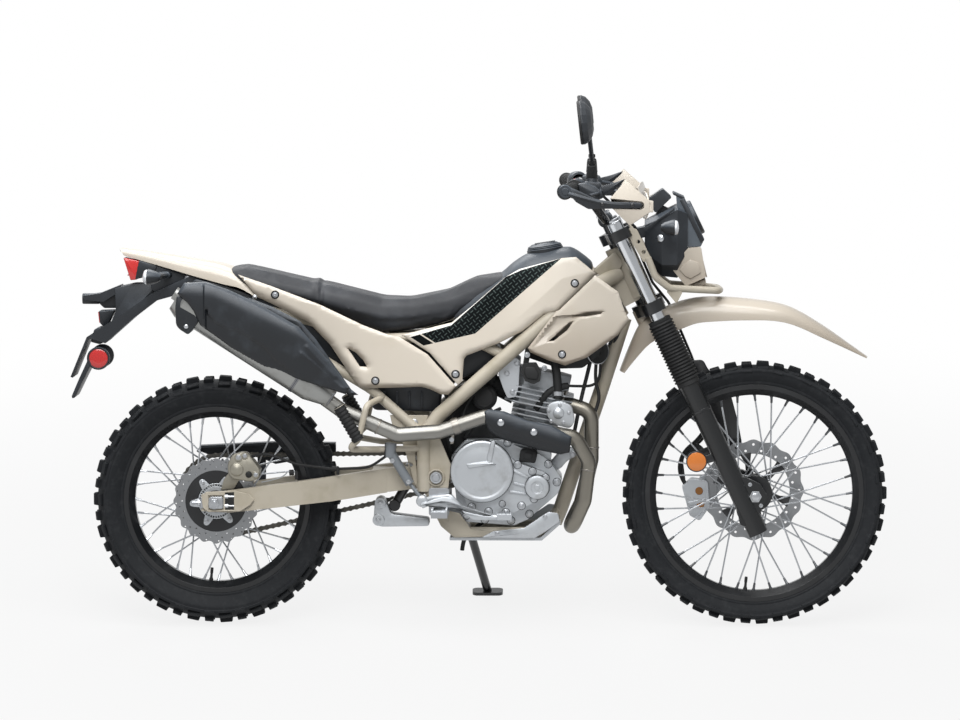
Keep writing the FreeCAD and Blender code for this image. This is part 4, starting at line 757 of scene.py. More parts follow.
places, pitch = chain_places()
half = pitch / 2
waist = [(-half - 4.4, -3.4), (-half - 4.4, 3.4), (-half, 6.6), (-2, 4.6), (2, 4.6), (half, 6.6), (half + 4.4, 3.4),
    (half + 4.4, -3.4), (half, -6.6), (2, -4.6), (-2, -4.6), (-half, -6.6)]
for i, (x, z, heading) in enumerate(places):
    place = Matrix.Translation((x, CHAIN_Y, z)) @ Matrix.Rotation(-heading, 4, "Y")
    out = OUTER_PLATE if i % 2 else INNER_PLATE
    for side in (-1, 1):
        slab(waist, side * out - 0.9, side * out + 0.9, place=place)
    for end in (-half, half):
        if i % 2:
            pin = place @ Vector((end, 0, 0))
            turned([(0, 8.5), (PIN, 8.5), (PIN, -8.5), (0, -8.5)], pin, LEFT, 8)
            turned([(ROLLER, 4.2), (ROLLER, -4.2)], pin, LEFT, 8)
piece("chain_links", "chassis", chain_steel, ["chain"])

# %% [markdown]
# The dust boots on the fork are rubber bellows with many thin folds. Half a fold is one step of a line in and
# out; the line is turned about the leg. The top and bottom ends are plain collars.

# %% Fork boots
RAKE = math.radians(25)
FORK_OFFSET, LEG_Y = 33, 95
BOOT_FOOT, BOOT_HEIGHT, BOOT_FOLDS = 630, 160, 19
UP_FORK = Vector((-math.sin(RAKE), 0, math.cos(RAKE)))
LEG_FOOT = Vector((FRONT_AXLE.x - FORK_OFFSET / math.cos(RAKE), 0, FRONT_AXLE.z))


def leg_point(height, side):
    """A point on a fork leg's own axis at a height above the ground."""
    back = (height - LEG_FOOT.z) * math.tan(RAKE)
    return Vector((LEG_FOOT.x - back, side * LEG_Y, height))


length = BOOT_HEIGHT / math.cos(RAKE)
line = [(26.5, -4), (29.5, -3), (29.5, 6)]
step = (length - 14) / BOOT_FOLDS
for i in range(BOOT_FOLDS):
    low = 8 + i * step
    line += [(28.6, low), (33.0, low + step * 0.3), (33.0, low + step * 0.55), (28.8, low + step * 0.9)]
line += [(29.5, length - 6), (29.5, length + 2), (24, length + 3)]
turned(line, leg_point(BOOT_FOOT, -1), UP_FORK, 36)
twin()
piece("fork_boots", "steering", black_rubber, ["gaiters"], sharp=50)

# %% [markdown]
# The upper fork tubes are hard-chromed and the sliders below are painted. One material covers both, because the
# change lies at a known distance along the leg: below the boot it is paint, above it chrome.

# %% Fork legs
fork = Finish("fork_paint_and_chrome", Coat_Weight=0.2)
spot = fork.place()
chrome = fork.fade(fork.axes(spot)[2], 700, 701)
brushed = fork.noise(spot, 0.15, 4)
fork.give(Base_Color=fork.mix(colour("101214"), colour("d8dbdf"), chrome), Metallic=chrome,
          Roughness=0.36 + brushed * 0.12 - chrome * 0.24)
fork.relief(fork.noise(spot, 0.5, 2), 0.04, 0.3, 1.0)
dress(fork, "fork_legs")

# %% [markdown]
# Each brake disc is cut from plate: a wavy edge, rows of vent holes and a window round its carrier. The outline is
# a closed line whose radius swings in and out, and each vent is a smaller closed line inside it.

# %% Brake discs
def about(axle):
    """Moves what is drawn round the origin of the side view to an axle."""
    return Matrix.Translation((axle.x, 0, axle.z))


def wavy_line(radius, swing, waves, count=12):
    """A closed line whose radius swings in and out."""
    total = waves * count
    spots = [round_point(radius - swing + swing * math.cos(math.tau * i / count), math.tau * i / total)
             for i in range(total)]
    return [(spot.x, spot.z) for spot in spots]


def vented_disc(name, body, axle, y, radius, bore, waves, rows, hub):
    """A disc with rows of vents and a ring round the hub."""
    lines = [wavy_line(radius, 3.0, waves), circle(0, 0, bore, 64)]
    for row_radius, count, hole, shift in rows:
        lines += [circle(x, z, hole, 8) for x, z in circle(0, 0, row_radius, count, shift)]
    place = about(axle)
    thick_sheet(lines, y - 2, y + 2, place=place)
    thick_sheet([circle(0, 0, hub + 9, 48), circle(0, 0, hub, 32)], y - 2.4, y + 2.4, 0.5, place)
    piece(name + "_vented", body, disc_steel(name + "_steel", axle), [name], sharp=30)


vented_disc("rear_disc", "rear_wheel", REAR_AXLE, -57, 110, 79, 20, [(87, 20, 2.1, 0.0), (95, 20, 2.1, 0.5),
    (103, 20, 2.0, 0.2)], 26)
vented_disc("front_disc", "front_wheel", FRONT_AXLE, 60, 131, 94, 16, [(103, 16, 3.4, 0.5), (118, 16, 3.4, 0.0)], 20)
place = about(FRONT_AXLE)
for i in range(6):
    turn = place @ Matrix.Rotation(math.tau * (i + 0.3) / 6, 4, "Y")
    slab([(24, -12), (70, -7), (97, -15), (97, 15), (70, 7), (24, 12)], 57.4, 62.6, corner=3, edge=0.6, place=turn)
    turned([(0, 4), (4, 4), (5, 3), (5, -4)], turn @ Vector((91, 62, 0)), LEFT, 14)
piece("front_disc_carrier", "front_wheel", black_paint)

# %% [markdown]
# The seat is foam under a stretched vinyl cover. A copy of the CAD seat is closed by a voxel remesh, shrunk a
# little, then blown up by the cloth solver with no gravity, so that its sides crown as a covered foam does. No
# point may move far. The step in front of the pillion's place is pressed in afterwards.

# %% Vinyl of the cover
seat_vinyl = Finish("seat_vinyl", Specular_IOR_Level=0.4)
spot = seat_vinyl.place()
grain = seat_vinyl.node("ShaderNodeTexVoronoi", {"feature": "DISTANCE_TO_EDGE"}, {"Vector": spot, "Scale": 0.55})
rub = seat_vinyl.noise(spot, 0.012, 4)
worn = seat_vinyl.fade(rub, 0.45, 0.75)
seat_vinyl.give(Base_Color=seat_vinyl.mix(colour("2a2c30"), colour("3b3e43"), worn * 0.6),
                Roughness=0.5 - worn * 0.1 + seat_vinyl.fade(grain, 0.0, 0.2) * 0.06)
seat_vinyl.relief(seat_vinyl.fade(grain, 0.0, 0.25), 0.18, 0.5)

# %% Padded cover
SEAT_STEP_X = 272
SEAT_VOXEL, SEAT_SHRINK, SEAT_CAP = 0.006, 0.003, 0.009
CLOTH_FRAMES, CLOTH_PRESSURE = 20, 4


def inflated(start, cap):
    """The cloth solver's result, no point further than a cap from where it began."""
    bpy.context.view_layer.objects.active = start
    cloth = start.modifiers.new("cloth", "CLOTH")
    cloth.settings.use_pressure = True
    cloth.settings.uniform_pressure_force = CLOTH_PRESSURE
    cloth.settings.effector_weights.gravity = 0
    cloth.settings.quality = 5
    cloth.collision_settings.use_collision = False
    before = [v.co.copy() for v in start.data.vertices]
    for step in range(1, CLOTH_FRAMES + 1):
        bpy.context.scene.frame_set(step)
    result = bpy.data.meshes.new_from_object(start.evaluated_get(bpy.context.evaluated_depsgraph_get()))
    start.modifiers.clear()
    for vert, rest in zip(result.vertices, before):
        moved = vert.co - rest
        if moved.length > cap:
            vert.co = rest + moved * (cap / moved.length)
    bpy.context.scene.frame_set(1)
    return result


def smoothed(shape, times):
    """Evens out a shape's points."""
    for _ in range(times):
        bmesh.ops.smooth_vert(shape, verts=shape.verts, factor=0.5, use_axis_x=True, use_axis_y=True,
                              use_axis_z=True)


seat_copy = bmesh.new()
seat_copy.from_mesh(frame["nodes"]["seat"].data)
bmesh.ops.remove_doubles(seat_copy, verts=seat_copy.verts, dist=0.00005)
bmesh.ops.recalc_face_normals(seat_copy, faces=seat_copy.faces)
seat_mesh = bpy.data.meshes.new("seat_pad")
seat_copy.to_mesh(seat_mesh)
seat_copy.free()
seat = linked("seat_pad", seat_mesh)
voxels = seat.modifiers.new("voxels", "REMESH")
voxels.mode = "VOXEL"
voxels.voxel_size = SEAT_VOXEL
seat.data = bpy.data.meshes.new_from_object(seat.evaluated_get(bpy.context.evaluated_depsgraph_get()))
seat.modifiers.clear()
shape = bmesh.new()
shape.from_mesh(seat.data)
smoothed(shape, 4)
shape.normal_update()
for vert in shape.verts:
    vert.co -= vert.normal * SEAT_SHRINK
shape.to_mesh(seat.data)
shape.free()
seat.data = inflated(seat, SEAT_CAP)

shape = bmesh.new()
shape.from_mesh(seat.data)
smoothed(shape, 2)
shape.transform(DRAWN)
shape.normal_update()
for vert in shape.verts:
    step = vert.co.x - SEAT_STEP_X
    lip = 5.0 * math.exp(-((step + 9) / 10) ** 2) * max(0.0, vert.normal.z)
    groove = 4.5 * math.exp(-(step / 3.4) ** 2)
    vert.co += vert.normal * (lip - groove)
shape.transform(STAND)
shape.to_mesh(seat.data)
shape.free()
seat.data.polygons.foreach_set("use_smooth", [True] * len(seat.data.polygons))
seat.data.materials.clear()
seat.data.materials.append(seat_vinyl.material)
fine = seat.modifiers.new("fine", "SUBSURF")
fine.levels = fine.render_levels = 1
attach(seat, "chassis")
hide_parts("seat")
print("seat", len(seat.data.polygons), "faces before subdivision")

# %% [markdown]
# The body panels are thin moulded sheets with soft creases. Each one starts as its flat outline on the side view,
# is cut into small cells, and every point is then pushed out to a depth worked out from its place: a base plane
# from the CAD panel, creases where two slopes meet, and an edge that rolls inwards. Solidify gives the wall.

# %% Moulded sheets
def cells(made, size, folds):
    """Cuts a flat face into cells and along its folds, so that it can be bent."""
    xs = [v.co.x for v in made.verts]
    zs = [v.co.z for v in made.verts]
    cuts = []
    for low, high, facing in ((min(xs), max(xs), Vector((1, 0, 0))), (min(zs), max(zs), Vector((0, 0, 1)))):
        count = int((high - low) / size)
        cuts += [(facing * (low + (i + 1) * (high - low) / (count + 1)), facing) for i in range(count)]
    for (ax, az), (bx, bz) in folds:
        facing = Vector((az - bz, 0, bx - ax)).normalized()
        cuts += [(Vector((ax, 0, az)) + facing * shift, facing) for shift in (-1.2, 1.2)]
    for at, facing in cuts:
        bmesh.ops.bisect_plane(made, geom=made.verts[:] + made.edges[:] + made.faces[:], plane_co=at,
                               plane_no=facing, dist=0.05)


def line_distance(x, z, line):
    """How far a place is from a broken line."""
    best = 1e9
    for (ax, az), (bx, bz) in zip(line, line[1:]):
        dx, dz = bx - ax, bz - az
        t = max(0.0, min(1.0, ((x - ax) * dx + (z - az) * dz) / (dx * dx + dz * dz)))
        best = min(best, math.hypot(x - ax - t * dx, z - az - t * dz))
    return best


def pairs(line):
    """The straight runs of a broken line."""
    return list(zip(line, line[1:]))


def rolled(distance, radius):
    """How far an edge has turned inwards at a distance from the rim."""
    if distance >= radius:
        return 0.0
    part = 1 - distance / radius
    return radius * (1 - math.sqrt(max(0.0, 1 - part * part)))


def folded(distance, width, slope):
    """How far a sloping margin of a given width has gone inwards."""
    return max(0.0, width - distance) * slope


def moulded(line, depth, wall=2.5, roll=5.0, cell=8.0, folds=(), holes=()):
    """A bent sheet: depth(x, z) is how far out a point stands, and the rim rolls in."""
    made = flat_sheet([line, *holes])
    cells(made, cell, folds)
    rims = [loop + loop[:1] for loop in [line, *holes]]
    for vert in made.verts:
        x, z = vert.co.x, vert.co.z
        inward = max(rolled(line_distance(x, z, rim), roll) for rim in rims)
        vert.co.y = inward - depth(x, z)
    made.normal_update()
    if sum(face.normal.y * face.calc_area() for face in made.faces) > 0:
        bmesh.ops.reverse_faces(made, faces=made.faces)
    bmesh.ops.solidify(made, geom=made.faces[:], thickness=wall)
    bmesh.ops.recalc_face_normals(made, faces=made.faces)
    gather(made)


def between(x, spots):
    """Reads a value off a broken line of (x, value) spots."""
    if x <= spots[0][0]:
        return spots[0][1]
    for (ax, av), (bx, bv) in zip(spots, spots[1:]):
        if x <= bx:
            return av + (bv - av) * (x - ax) / (bx - ax)
    return spots[-1][1]


def ruled(low, low_z, high, high_z):
    """A sheet that leans in as it rises, from its plan line low down and high up."""
    def depth(x, z):
        part = (z - low_z) / (high_z - low_z)
        return between(x, low) * (1 - part) + between(x, high) * part
    return depth


def stood(depth, x, z):
    """A point on a moulded sheet of the right side and the way that it faces."""
    across_x = depth(x + 2, z) - depth(x - 2, z)
    across_z = depth(x, z + 2) - depth(x, z - 2)
    return Vector((x, -depth(x, z), z)), Vector((-across_x / 4, -1, -across_z / 4)).normalized()


# %% [markdown]
# Three panels make each side. The tank panel has a soft crease that rises to the steering head and a folded
# lower margin; the shroud has a pocket with an air slot between two creases; the side panel has a folded lower
# margin and a slanting vent. Their bolts sit in rubber rings.

# %% Side panels
TANK_LINE = [(478, 752), (606, 784), (658, 826), (741, 898), (777, 919), (886, 948), (922, 951), (974, 909),
    (876, 812), (841, 806), (787, 762), (728, 732), (644, 699), (637, 690), (633, 635), (622, 625), (550, 706)]
tank_sheet = ruled([(440, 122), (560, 122), (700, 124), (860, 136), (1100, 144)], 590, [(440, 100), (560, 84),
    (700, 88), (860, 108), (1100, 120)], 960)
TANK_CREASE = [(700, 730), (805, 823), (885, 896), (960, 915)]


def tank_depth(x, z):
    """The tank panel: leaning in above its crease, with a folded lower margin."""
    above = max(0.0, z - between(x, TANK_CREASE)) * 0.75
    facet = above * 0.2 * max(0.0, min(1.0, (x - 720) / 120))
    margin = folded(line_distance(x, z, TANK_LINE[7:15]), 11, 0.75)
    return tank_sheet(x, z) - facet - margin


moulded(TANK_LINE, tank_depth, folds=pairs(TANK_CREASE[1:]))
twin()
piece("tank_side_panels", "chassis", tank_sand, ["tank_panels"], sharp=50)

SHROUD_LINE = [(971, 906), (1029, 865), (1046, 816), (1058, 793), (1029, 755), (950, 697), (895, 676), (854, 688),
    (807, 708), (800, 720), (872, 814), (880, 817)]
shroud_sheet = ruled([(780, 124), (880, 134), (1000, 154), (1080, 160)], 660, [(780, 104), (880, 118), (1000, 142),
    (1080, 150)], 920)
SHROUD_CREASE = [(805, 718), (850, 734), (894, 765), (936, 797), (989, 811), (1050, 813)]
SHROUD_STEP = [(866, 801), (1050, 816)]


def shroud_depth(x, z):
    """The shroud: a pocket above its crease, a step over the air slot and a folded margin."""
    if z > between(x, SHROUD_STEP) and x > 866:
        return shroud_sheet(x, z)
    above = max(0.0, z - between(x, SHROUD_CREASE)) * 0.8
    edge = min(1.0, max(0.0, line_distance(x, z, [(872, 814), (800, 720)]) - 7) / 5)
    margin = folded(line_distance(x, z, SHROUD_LINE[3:9]), 8, 0.6)
    return shroud_sheet(x, z) - min(11.0, above * 0.5) * edge - margin


slot = [(853, 738), (906, 785), (915, 788), (900, 766), (866, 739)]
air_slot = [(914, 801), (950, 802), (986, 809), (990, 815), (950, 812)]
moulded(SHROUD_LINE, shroud_depth, cell=7.0, holes=[slot, air_slot], folds=[*pairs(SHROUD_CREASE[:5]), SHROUD_STEP])
twin()
piece("shroud_shells", "chassis", panels["shroud_sand"], ["shrouds"], sharp=50)

SIDE_LINE = [(60, 905), (145, 876), (273, 828), (378, 778), (442, 754), (471, 748.5), (545, 703), (617, 622),
    (597, 600), (579, 601), (551, 614), (530, 620), (372, 615), (349, 647), (296, 726), (241, 782), (145, 831),
    (112, 846)]
side_sheet = ruled([(40, 104), (300, 112), (480, 124), (640, 126)], 590, [(40, 94), (300, 110), (480, 108),
    (640, 100)], 910)
VENT = [(341, 718), (372, 672), (390, 671), (380, 688), (362, 706)]


def side_depth(x, z):
    """The side panel: folded lower margins and a dip at the vent."""
    margin = folded(line_distance(x, z, SIDE_LINE[12:18]), 17, 0.42)
    foot = folded(line_distance(x, z, SIDE_LINE[8:13]), 10, 0.7)
    dip = folded(line_distance(x, z, [(348, 716), (388, 674)]), 17, 0.32)
    return side_sheet(x, z) - max(margin, foot, dip)


moulded(SIDE_LINE, side_depth, holes=[VENT])
twin()
piece("side_panel_shells", "chassis", sand, ["side_panels"], sharp=50)

panel_bolt = metal_part("bolt_zinc", "c2c5c9", 0.24, 0.5, 0.02, edge=0.4)
PANEL_BOLTS = [stood(*spot) for spot in ((tank_depth, 919, 885), (tank_depth, 616, 653), (shroud_depth, 887, 705),
                                         (side_depth, 156, 854), (side_depth, 412, 636))]
for at, facing in PANEL_BOLTS:
    bolt(at, facing, 0.86)
twin()
piece("panel_bolts", "chassis", panel_bolt)
for at, facing in PANEL_BOLTS:
    turned([(7.6, -1), (7.6, 1.2), (8.6, 1.9), (10.4, 1.5), (11.2, -1)], at, facing)
twin()
piece("panel_bolt_rings", "chassis", black_rubber)

# %% [markdown]
# A mudguard or a cover that closes over something is a shell: a grid whose rows are drawn round a section and
# whose columns run along its length, given a wall at the end. The tail and the front mudguard are made so, with
# a squarish section whose corners stay soft.

# %% Mudguards
SHELL_WALL = 3.0


def shell(stations, steps, section):
    """A grid bent round: section(station, t) gives a point, with t from -1 to 1 across."""
    made = bmesh.new()
    grid = bmesh.ops.create_grid(made, x_segments=len(stations) - 1, y_segments=steps, size=1)
    for vert in grid["verts"]:
        row = round((vert.co.x + 1) / 2 * (len(stations) - 1))
        vert.co = section(stations[row], vert.co.y)
    bmesh.ops.recalc_face_normals(made, faces=made.faces)
    made.normal_update()
    middle = sum((v.co for v in made.verts), Vector()) / len(made.verts)
    if sum((face.calc_center_median() - middle).dot(face.normal) for face in made.faces) < 0:
        bmesh.ops.reverse_faces(made, faces=made.faces)
    bmesh.ops.solidify(made, geom=made.faces[:], thickness=SHELL_WALL)
    bmesh.ops.recalc_face_normals(made, faces=made.faces)
    gather(made)


def smooth_stations(rows, count):
    """Puts even rows between a few measured ones, on a smooth curve."""
    full = []
    for i in range(count + 1):
        t = i / count * (len(rows) - 1)
        a = min(int(t), len(rows) - 2)
        t -= a
        before, first, last, after = (rows[max(a - 1, 0)], rows[a], rows[a + 1], rows[min(a + 2, len(rows) - 1)])
        full.append([0.5 * (2 * q + (r - p) * t + (2 * p - 5 * q + 4 * r - s) * t * t
                            + (3 * q - p - 3 * r + s) * t ** 3) for p, q, r, s in zip(before, first, last, after)])
    return full


def squarish(power):
    """A section whose top point, low point and half width come from the station."""
    def section(row, t):
        xt, zt, xl, zl, w = row
        a = t * math.pi / 2
        c = abs(math.cos(a)) ** (2 / power)
        s = math.copysign(abs(math.sin(a)) ** (2 / power), t)
        return Vector((xl + (xt - xl) * c, w * s, zl + (zt - zl) * c))
    return section


front = [(-346, 656, -334, 651, 44), (-322, 718, -303, 690, 46), (-295, 775, -268, 727, 48),
    (-262, 803, -225, 750, 50), (-230, 819, -188, 765, 52), (-175, 838, -148, 780, 61), (-118, 845, -100, 785, 67),
    (-40, 842, -36, 788, 70), (53, 830, 45, 787, 71), (110, 810, 102, 774, 67), (180, 768, 170, 743, 60),
    (240, 726, 228, 716, 47), (288, 692, 284, 689, 30)]
shell(smooth_stations([(FRONT_AXLE.x + a, b, FRONT_AXLE.x + c, d, w) for a, b, c, d, w in front], 48),
    20, squarish(2.8))
turned([(0, -2), (20, -2), (20, 40), (0, 40)], (1101.5, 0, 776), UP_FORK, 28)
piece("front_mudguard", "steering", panels["mudguard_sand"], ["front_fender"], sharp=50)

rear = [(-247, 968, -235, 950, 41), (-204, 963, -185, 936, 50), (-159, 957, -140, 924, 58), (-70, 943, -60, 901, 72),
    (18, 928, 20, 880, 86), (66, 904, 66, 869, 92), (112, 848, 108, 845, 93)]
shell(smooth_stations(rear, 30), 20, squarish(3.6))
piece("tail_shell", "chassis", sand, ["tail"], sharp=50)

# %% [markdown]
# The tail lamp is a red lens with a black housing behind it, and the turn signals are oval pods on rubber
# stalks with clear lenses. A lens is a thin dome of tinted plastic.

# %% Lamps at the tail and the turn signals
def lens_part(name, shade):
    """Tinted clear plastic with fine ridges."""
    finish = Finish(name, Coat_Weight=0.6, Coat_Roughness=0.05, IOR=1.49)
    ridges = finish.noise(finish.place(), 0.4, 2)
    finish.give(Base_Color=finish.mix(colour(shade), (1, 1, 1, 1), ridges * 0.03), Roughness=0.12 + ridges * 0.05)
    return finish.relief(ridges, 0.08, 0.4, 0.8)


red_lens = lens_part("red_lens", "c41410")
clear_lens = lens_part("clear_lens", "e3e6ea")
amber_lens = lens_part("amber_lens", "d9791f")

slab([(-236, 945), (-190, 935), (-200, 889), (-218, 887)], -50, 50, 3.0, 2.0)
for z in (900, 913, 926):
    slab([(-236.5 + (945 - z) * 0.31, z + 1.2), (-226, z + 1.2), (-226, z - 1.2),
        (-235.8 + (945 - z) * 0.31, z - 1.2)], -44, 44, edge=0.5)
piece("tail_lens", "chassis", red_lens, ["tail_lamp"])
slab([(-196, 938), (-148, 925), (-158, 901), (-206, 889)], -52, 52, 4.0, 2.0)
slab([(-160, 926), (-60, 902), (-24, 889), (-40, 876), (-150, 850), (-166, 866)], -50, 50, 5.0, 3.0)
piece("tail_lamp_housing", "chassis", black_plastic)


# An oval pod on a stalk: the body tapers to the stalk and the lens domes outwards.
for name, body, at, facing, root in (("rear_signal", "chassis", (-161, -182, 903), (-1, 0, 0.04), (-118, -48, 901)),
                                     ("front_signal", "steering", (1170, -168, 1029), (1, 0, 0), (1152, -76, 1020))):
    at, root = Vector(at), Vector(root)
    turned([(0, -34), (8, -33), (14, -24), (19, -8), (20.5, 0), (19, 1.5), (0, 1)], at, facing, 28, 1.7)
    bent([at - Vector(facing) * 16, at.lerp(root, 0.5), root], 8)
    for part in (0.55, 0.7, 0.85):
        turned([(8, -3), (10, -1.5), (10, 1.5), (8, 3)], at.lerp(root, part), root - at, 18)
    twin()
    piece(name + "_bodies", body, black_plastic, [name + "s"])
    turned([(18.6, 0), (18.9, 5), (16.5, 9), (10, 11.5), (0, 12.5)], at, facing, 28, 1.75)
    twin()
    piece(name + "_lenses", body, clear_lens)

# %% [markdown]
# The silencer's heat cover is moulded in two tiers: a crowned upper tier that ends in a stepped line, and a lower
# one set back from it, with two ribs at the front. Its depth is a sum of those parts. A pressed shield of the
# same black guards the header, and both are held by bright button bolts.

# %% Heat covers
COVER = [(-85, 862), (-68, 889), (-13, 892), (48, 871), (114, 840), (222, 779), (300, 690), (350, 624), (340, 607),
    (270, 628), (201, 650), (135, 672), (48, 725), (-28, 782), (-44, 818), (-58, 838)]
TIER = [(-12, 840), (-9, 815), (12, 790), (46, 773), (68, 773), (94, 755), (133, 729), (147, 716), (160, 698),
    (190, 672), (240, 650)]


def eased(value, low, high):
    """Goes smoothly from nought to one while the value goes from low to high."""
    t = max(0.0, min(1.0, (value - low) / (high - low)))
    return t * t * (3 - 2 * t)


def cover_depth(x, z):
    """The silencer's cover: a crown over its ridge, a lower tier, a stepped tail and two ribs."""
    ridge = between(x, [(-90, 862), (7, 852), (268, 729), (352, 622)])
    off = (z - ridge) * 0.88
    crown = off * off * (0.011 if off > 0 else 0.0021)
    taper = eased(x, 200, 350) * 16
    below = between(x, TIER)
    step = 0.0
    if -12 < x < 240:
        step = 7 * (1 - eased(z - below, -3, 2)) * (1 - eased(x, 185, 235))
    tail = 6 * (1 - eased(x, -20, -14))
    ribs = 0.0
    for line in ([(227, 714), (333, 621)], [(242, 729), (312, 651)]):
        ribs = max(ribs, 3.2 * (1 - eased(line_distance(x, z, line), 1.5, 6)))
    return 216 - crown - taper - max(step, tail) + ribs


moulded(COVER, cover_depth, wall=3.0, roll=9.0, cell=4.4)
slab([(-87, 856), (-91, 826), (-89, 782), (-80, 771), (-58, 757), (-30, 792), (-42, 818), (-54, 838), (-62, 858)],
    -196, -104, 6.0, 4.0)
moulded([(84, 852), (152, 826), (222, 790), (262, 744), (300, 690), (352, 616), (370, 602), (345, 600), (250, 700),
    (120, 800)], lambda x, z: 150.0, wall=3.0)
SHIELD = [(690, 560), (700, 566), (740, 561), (800, 538), (864, 524), (912, 496), (906, 456), (884, 450), (831, 460),
    (770, 478), (729, 489), (704, 508), (692, 530)]


def shield_depth(x, z):
    """The header's heat shield: a crown with one raised rib."""
    ridge = between(x, [(690, 545), (735, 535), (816, 509), (912, 478)])
    above = z - ridge
    rib = 2.5 * (1 - eased(abs(above + 26), 1, 4))
    return 158 - 0.011 * above ** 2 - 5 * eased(x, 880, 915) - 3 * (1 - eased(above, -16, -12)) + rib


moulded(SHIELD, shield_depth, wall=2.0, cell=4.4)
piece("heat_covers", "chassis", black_plastic, ["exhaust_covers"], sharp=45)

ROUND_HEAD = [(0, 4.2), (5, 3.8), (8, 2.2), (9.2, 0.4), (9.2, -2)]
for depth, x, z in ((shield_depth, 732, 533), (shield_depth, 816, 509)):
    at, facing = stood(depth, x, z)
    turned(ROUND_HEAD, at, facing)
turned(ROUND_HEAD, (-70, -52, 894), RIGHT)
turned(scaled(ROUND_HEAD, 0.7, 1), (-63, -196, 779), RIGHT)
turned(scaled(ROUND_HEAD, 0.7, 1), (105, -112, 849), (0, -1, 0.2))
piece("cover_bolts", "chassis", panel_bolt)
silencer_start = Vector((300, -148, 592))
silencer = (Vector((-68, -148, 842)) - silencer_start).normalized()
turned([(41, -5), (43.4, -3.5), (43.6, -1), (42.4, 0), (43.8, 1), (43.6, 3.5), (41, 5)],
    silencer_start + silencer * 98, silencer, 48)
turned([(21, -3), (24, -2), (24.5, 1), (22, 3)], silencer_start, silencer, 32)
piece("silencer_weld_rings", "chassis", metal_part("weld_steel", "85868a", 0.34, 0.4, 0.05))

# %% [markdown]
# The front end carries the lamp in its cowl, a sand mask with a raised five-sided field, a smoked screen, the
# meter, and pointed hand guards whose black bars pass through a slot. All of it turns with the steering.

# %% Lamp, mask and meter
smoked = Finish("smoked_screen", Coat_Weight=1.0, Coat_Roughness=0.03, Specular_IOR_Level=0.6)
haze = smoked.noise(smoked.place(), 0.02, 3)
smoked.give(Base_Color=smoked.mix(colour("3c444c"), colour("59626b"), haze), Roughness=0.1 + haze * 0.08)
dress(smoked, "lamp_lens")
bright = metal_part("bright_reflector", "e4e6e8", 0.08, 0.3, 0.01, edge=0.3, stained=0.1)

FIELD = [(1184, 919), (1212, 944), (1234, 936), (1240, 909), (1213, 894), (1199, 901)]
slab(FIELD, -77, -73, 3.0, 1.6)
twin()
slab([(1206, 874.5), (1252, 894), (1254, 880), (1244, 873)], -60, 60, 3.0, 2.0)
slab([(1238, 960), (1254, 896), (1257, 897), (1241, 962)], -46, 46, 1.5, 1.0)
piece("mask_fields", "steering", panels["mask_sand"], sharp=50)
slab([(1196, 1100), (1249, 992), (1240, 984), (1186, 1094)], -62, -56, 2.0, 1.2)
slab([(1094, 1022), (1172, 1076), (1172, 1069), (1097, 1016)], -84, -82, 1.5, 0.8)
for x, z in ((1174, 950), (1150, 930)):
    turned([(5, -1), (5, 1.2), (3.4, 1.6), (3.2, -0.5)], (x, -70, z), RIGHT, 18)
twin()
slab([(1170, 1114), (1199, 1101), (1197, 1095), (1168, 1108)], -60, 60, 2.0, 1.5)
lamp_at, lamp_facing = Vector((1225, 0, 1047)), Vector((0.9, 0, 0.437))
turned([(46, -4), (46, 6), (43, 8.5), (39, 7), (38, 2)], lamp_at, lamp_facing, 40)
piece("lamp_frame", "steering", black_plastic)
turned([(38, 2), (34, 4), (22, 1.5), (15, 1.2), (14, 4), (12, 7.4), (6, 8.8), (0, 9.2)], lamp_at, lamp_facing, 40)
piece("lamp_reflector", "steering", bright)
at, facing = skin("lamp_cowl", 1136, 998)
turned(scaled(ROUND_HEAD, 1.1, 1), at, facing)
twin()
piece("cowl_bolts", "steering", panel_bolt)

screen = Finish("meter_screen", Coat_Weight=0.8, Coat_Roughness=0.04)
shade = screen.noise(screen.place(), 0.03, 2)
screen.give(Base_Color=screen.mix(colour("20262a"), colour("2d3538"), shade), Roughness=0.2)
slab([(1109, 1096.5), (1137.5, 1117), (1136, 1119.4), (1107.6, 1098.8)], -36, 36, 0.4, 0.4)
piece("meter_screen", "steering", screen)
for y in (-30, -10, 10, 30):
    turned([(0, 2), (3.4, 1.8), (4, -1)], (1105.3, y, 1093.5), (-0.8, 0, 0.5), 14)
piece("meter_buttons", "steering", black_rubber)

# %% Hand guards
GUARD_Y = 413
GRIP_END = Vector((FRONT_AXLE.x - 486, -402, 1128))


def ahead(spots):
    """Spots that were measured from the front axle, on the drawing."""
    return [(FRONT_AXLE.x + x, *rest) for x, *rest in spots]


GUARD = [(-334, 1158), (-276, 1107), (-274, 1078), (-324, 1045), (-368, 1088), (-296, 1086), (-290, 1090),
    (-290, 1100), (-296, 1104), (-374, 1111)]
slab(ahead(GUARD), -GUARD_Y, -GUARD_Y + 5, 2.0, 1.3)
rows = [(-277, -411, 1078, 1107), (-279, -396, 1070, 1116), (-282, -372, 1062, 1124), (-285, -336, 1058, 1127),
    (-290, -294, 1062, 1124), (-297, -244, 1074, 1114)]


def guard_section(row, t):
    """A point across a hand guard's section, bowed forwards in the middle."""
    x, y, low, high = row
    return Vector((FRONT_AXLE.x + x + 4 * (1 - t * t), y, low + (high - low) * (t + 1) / 2))


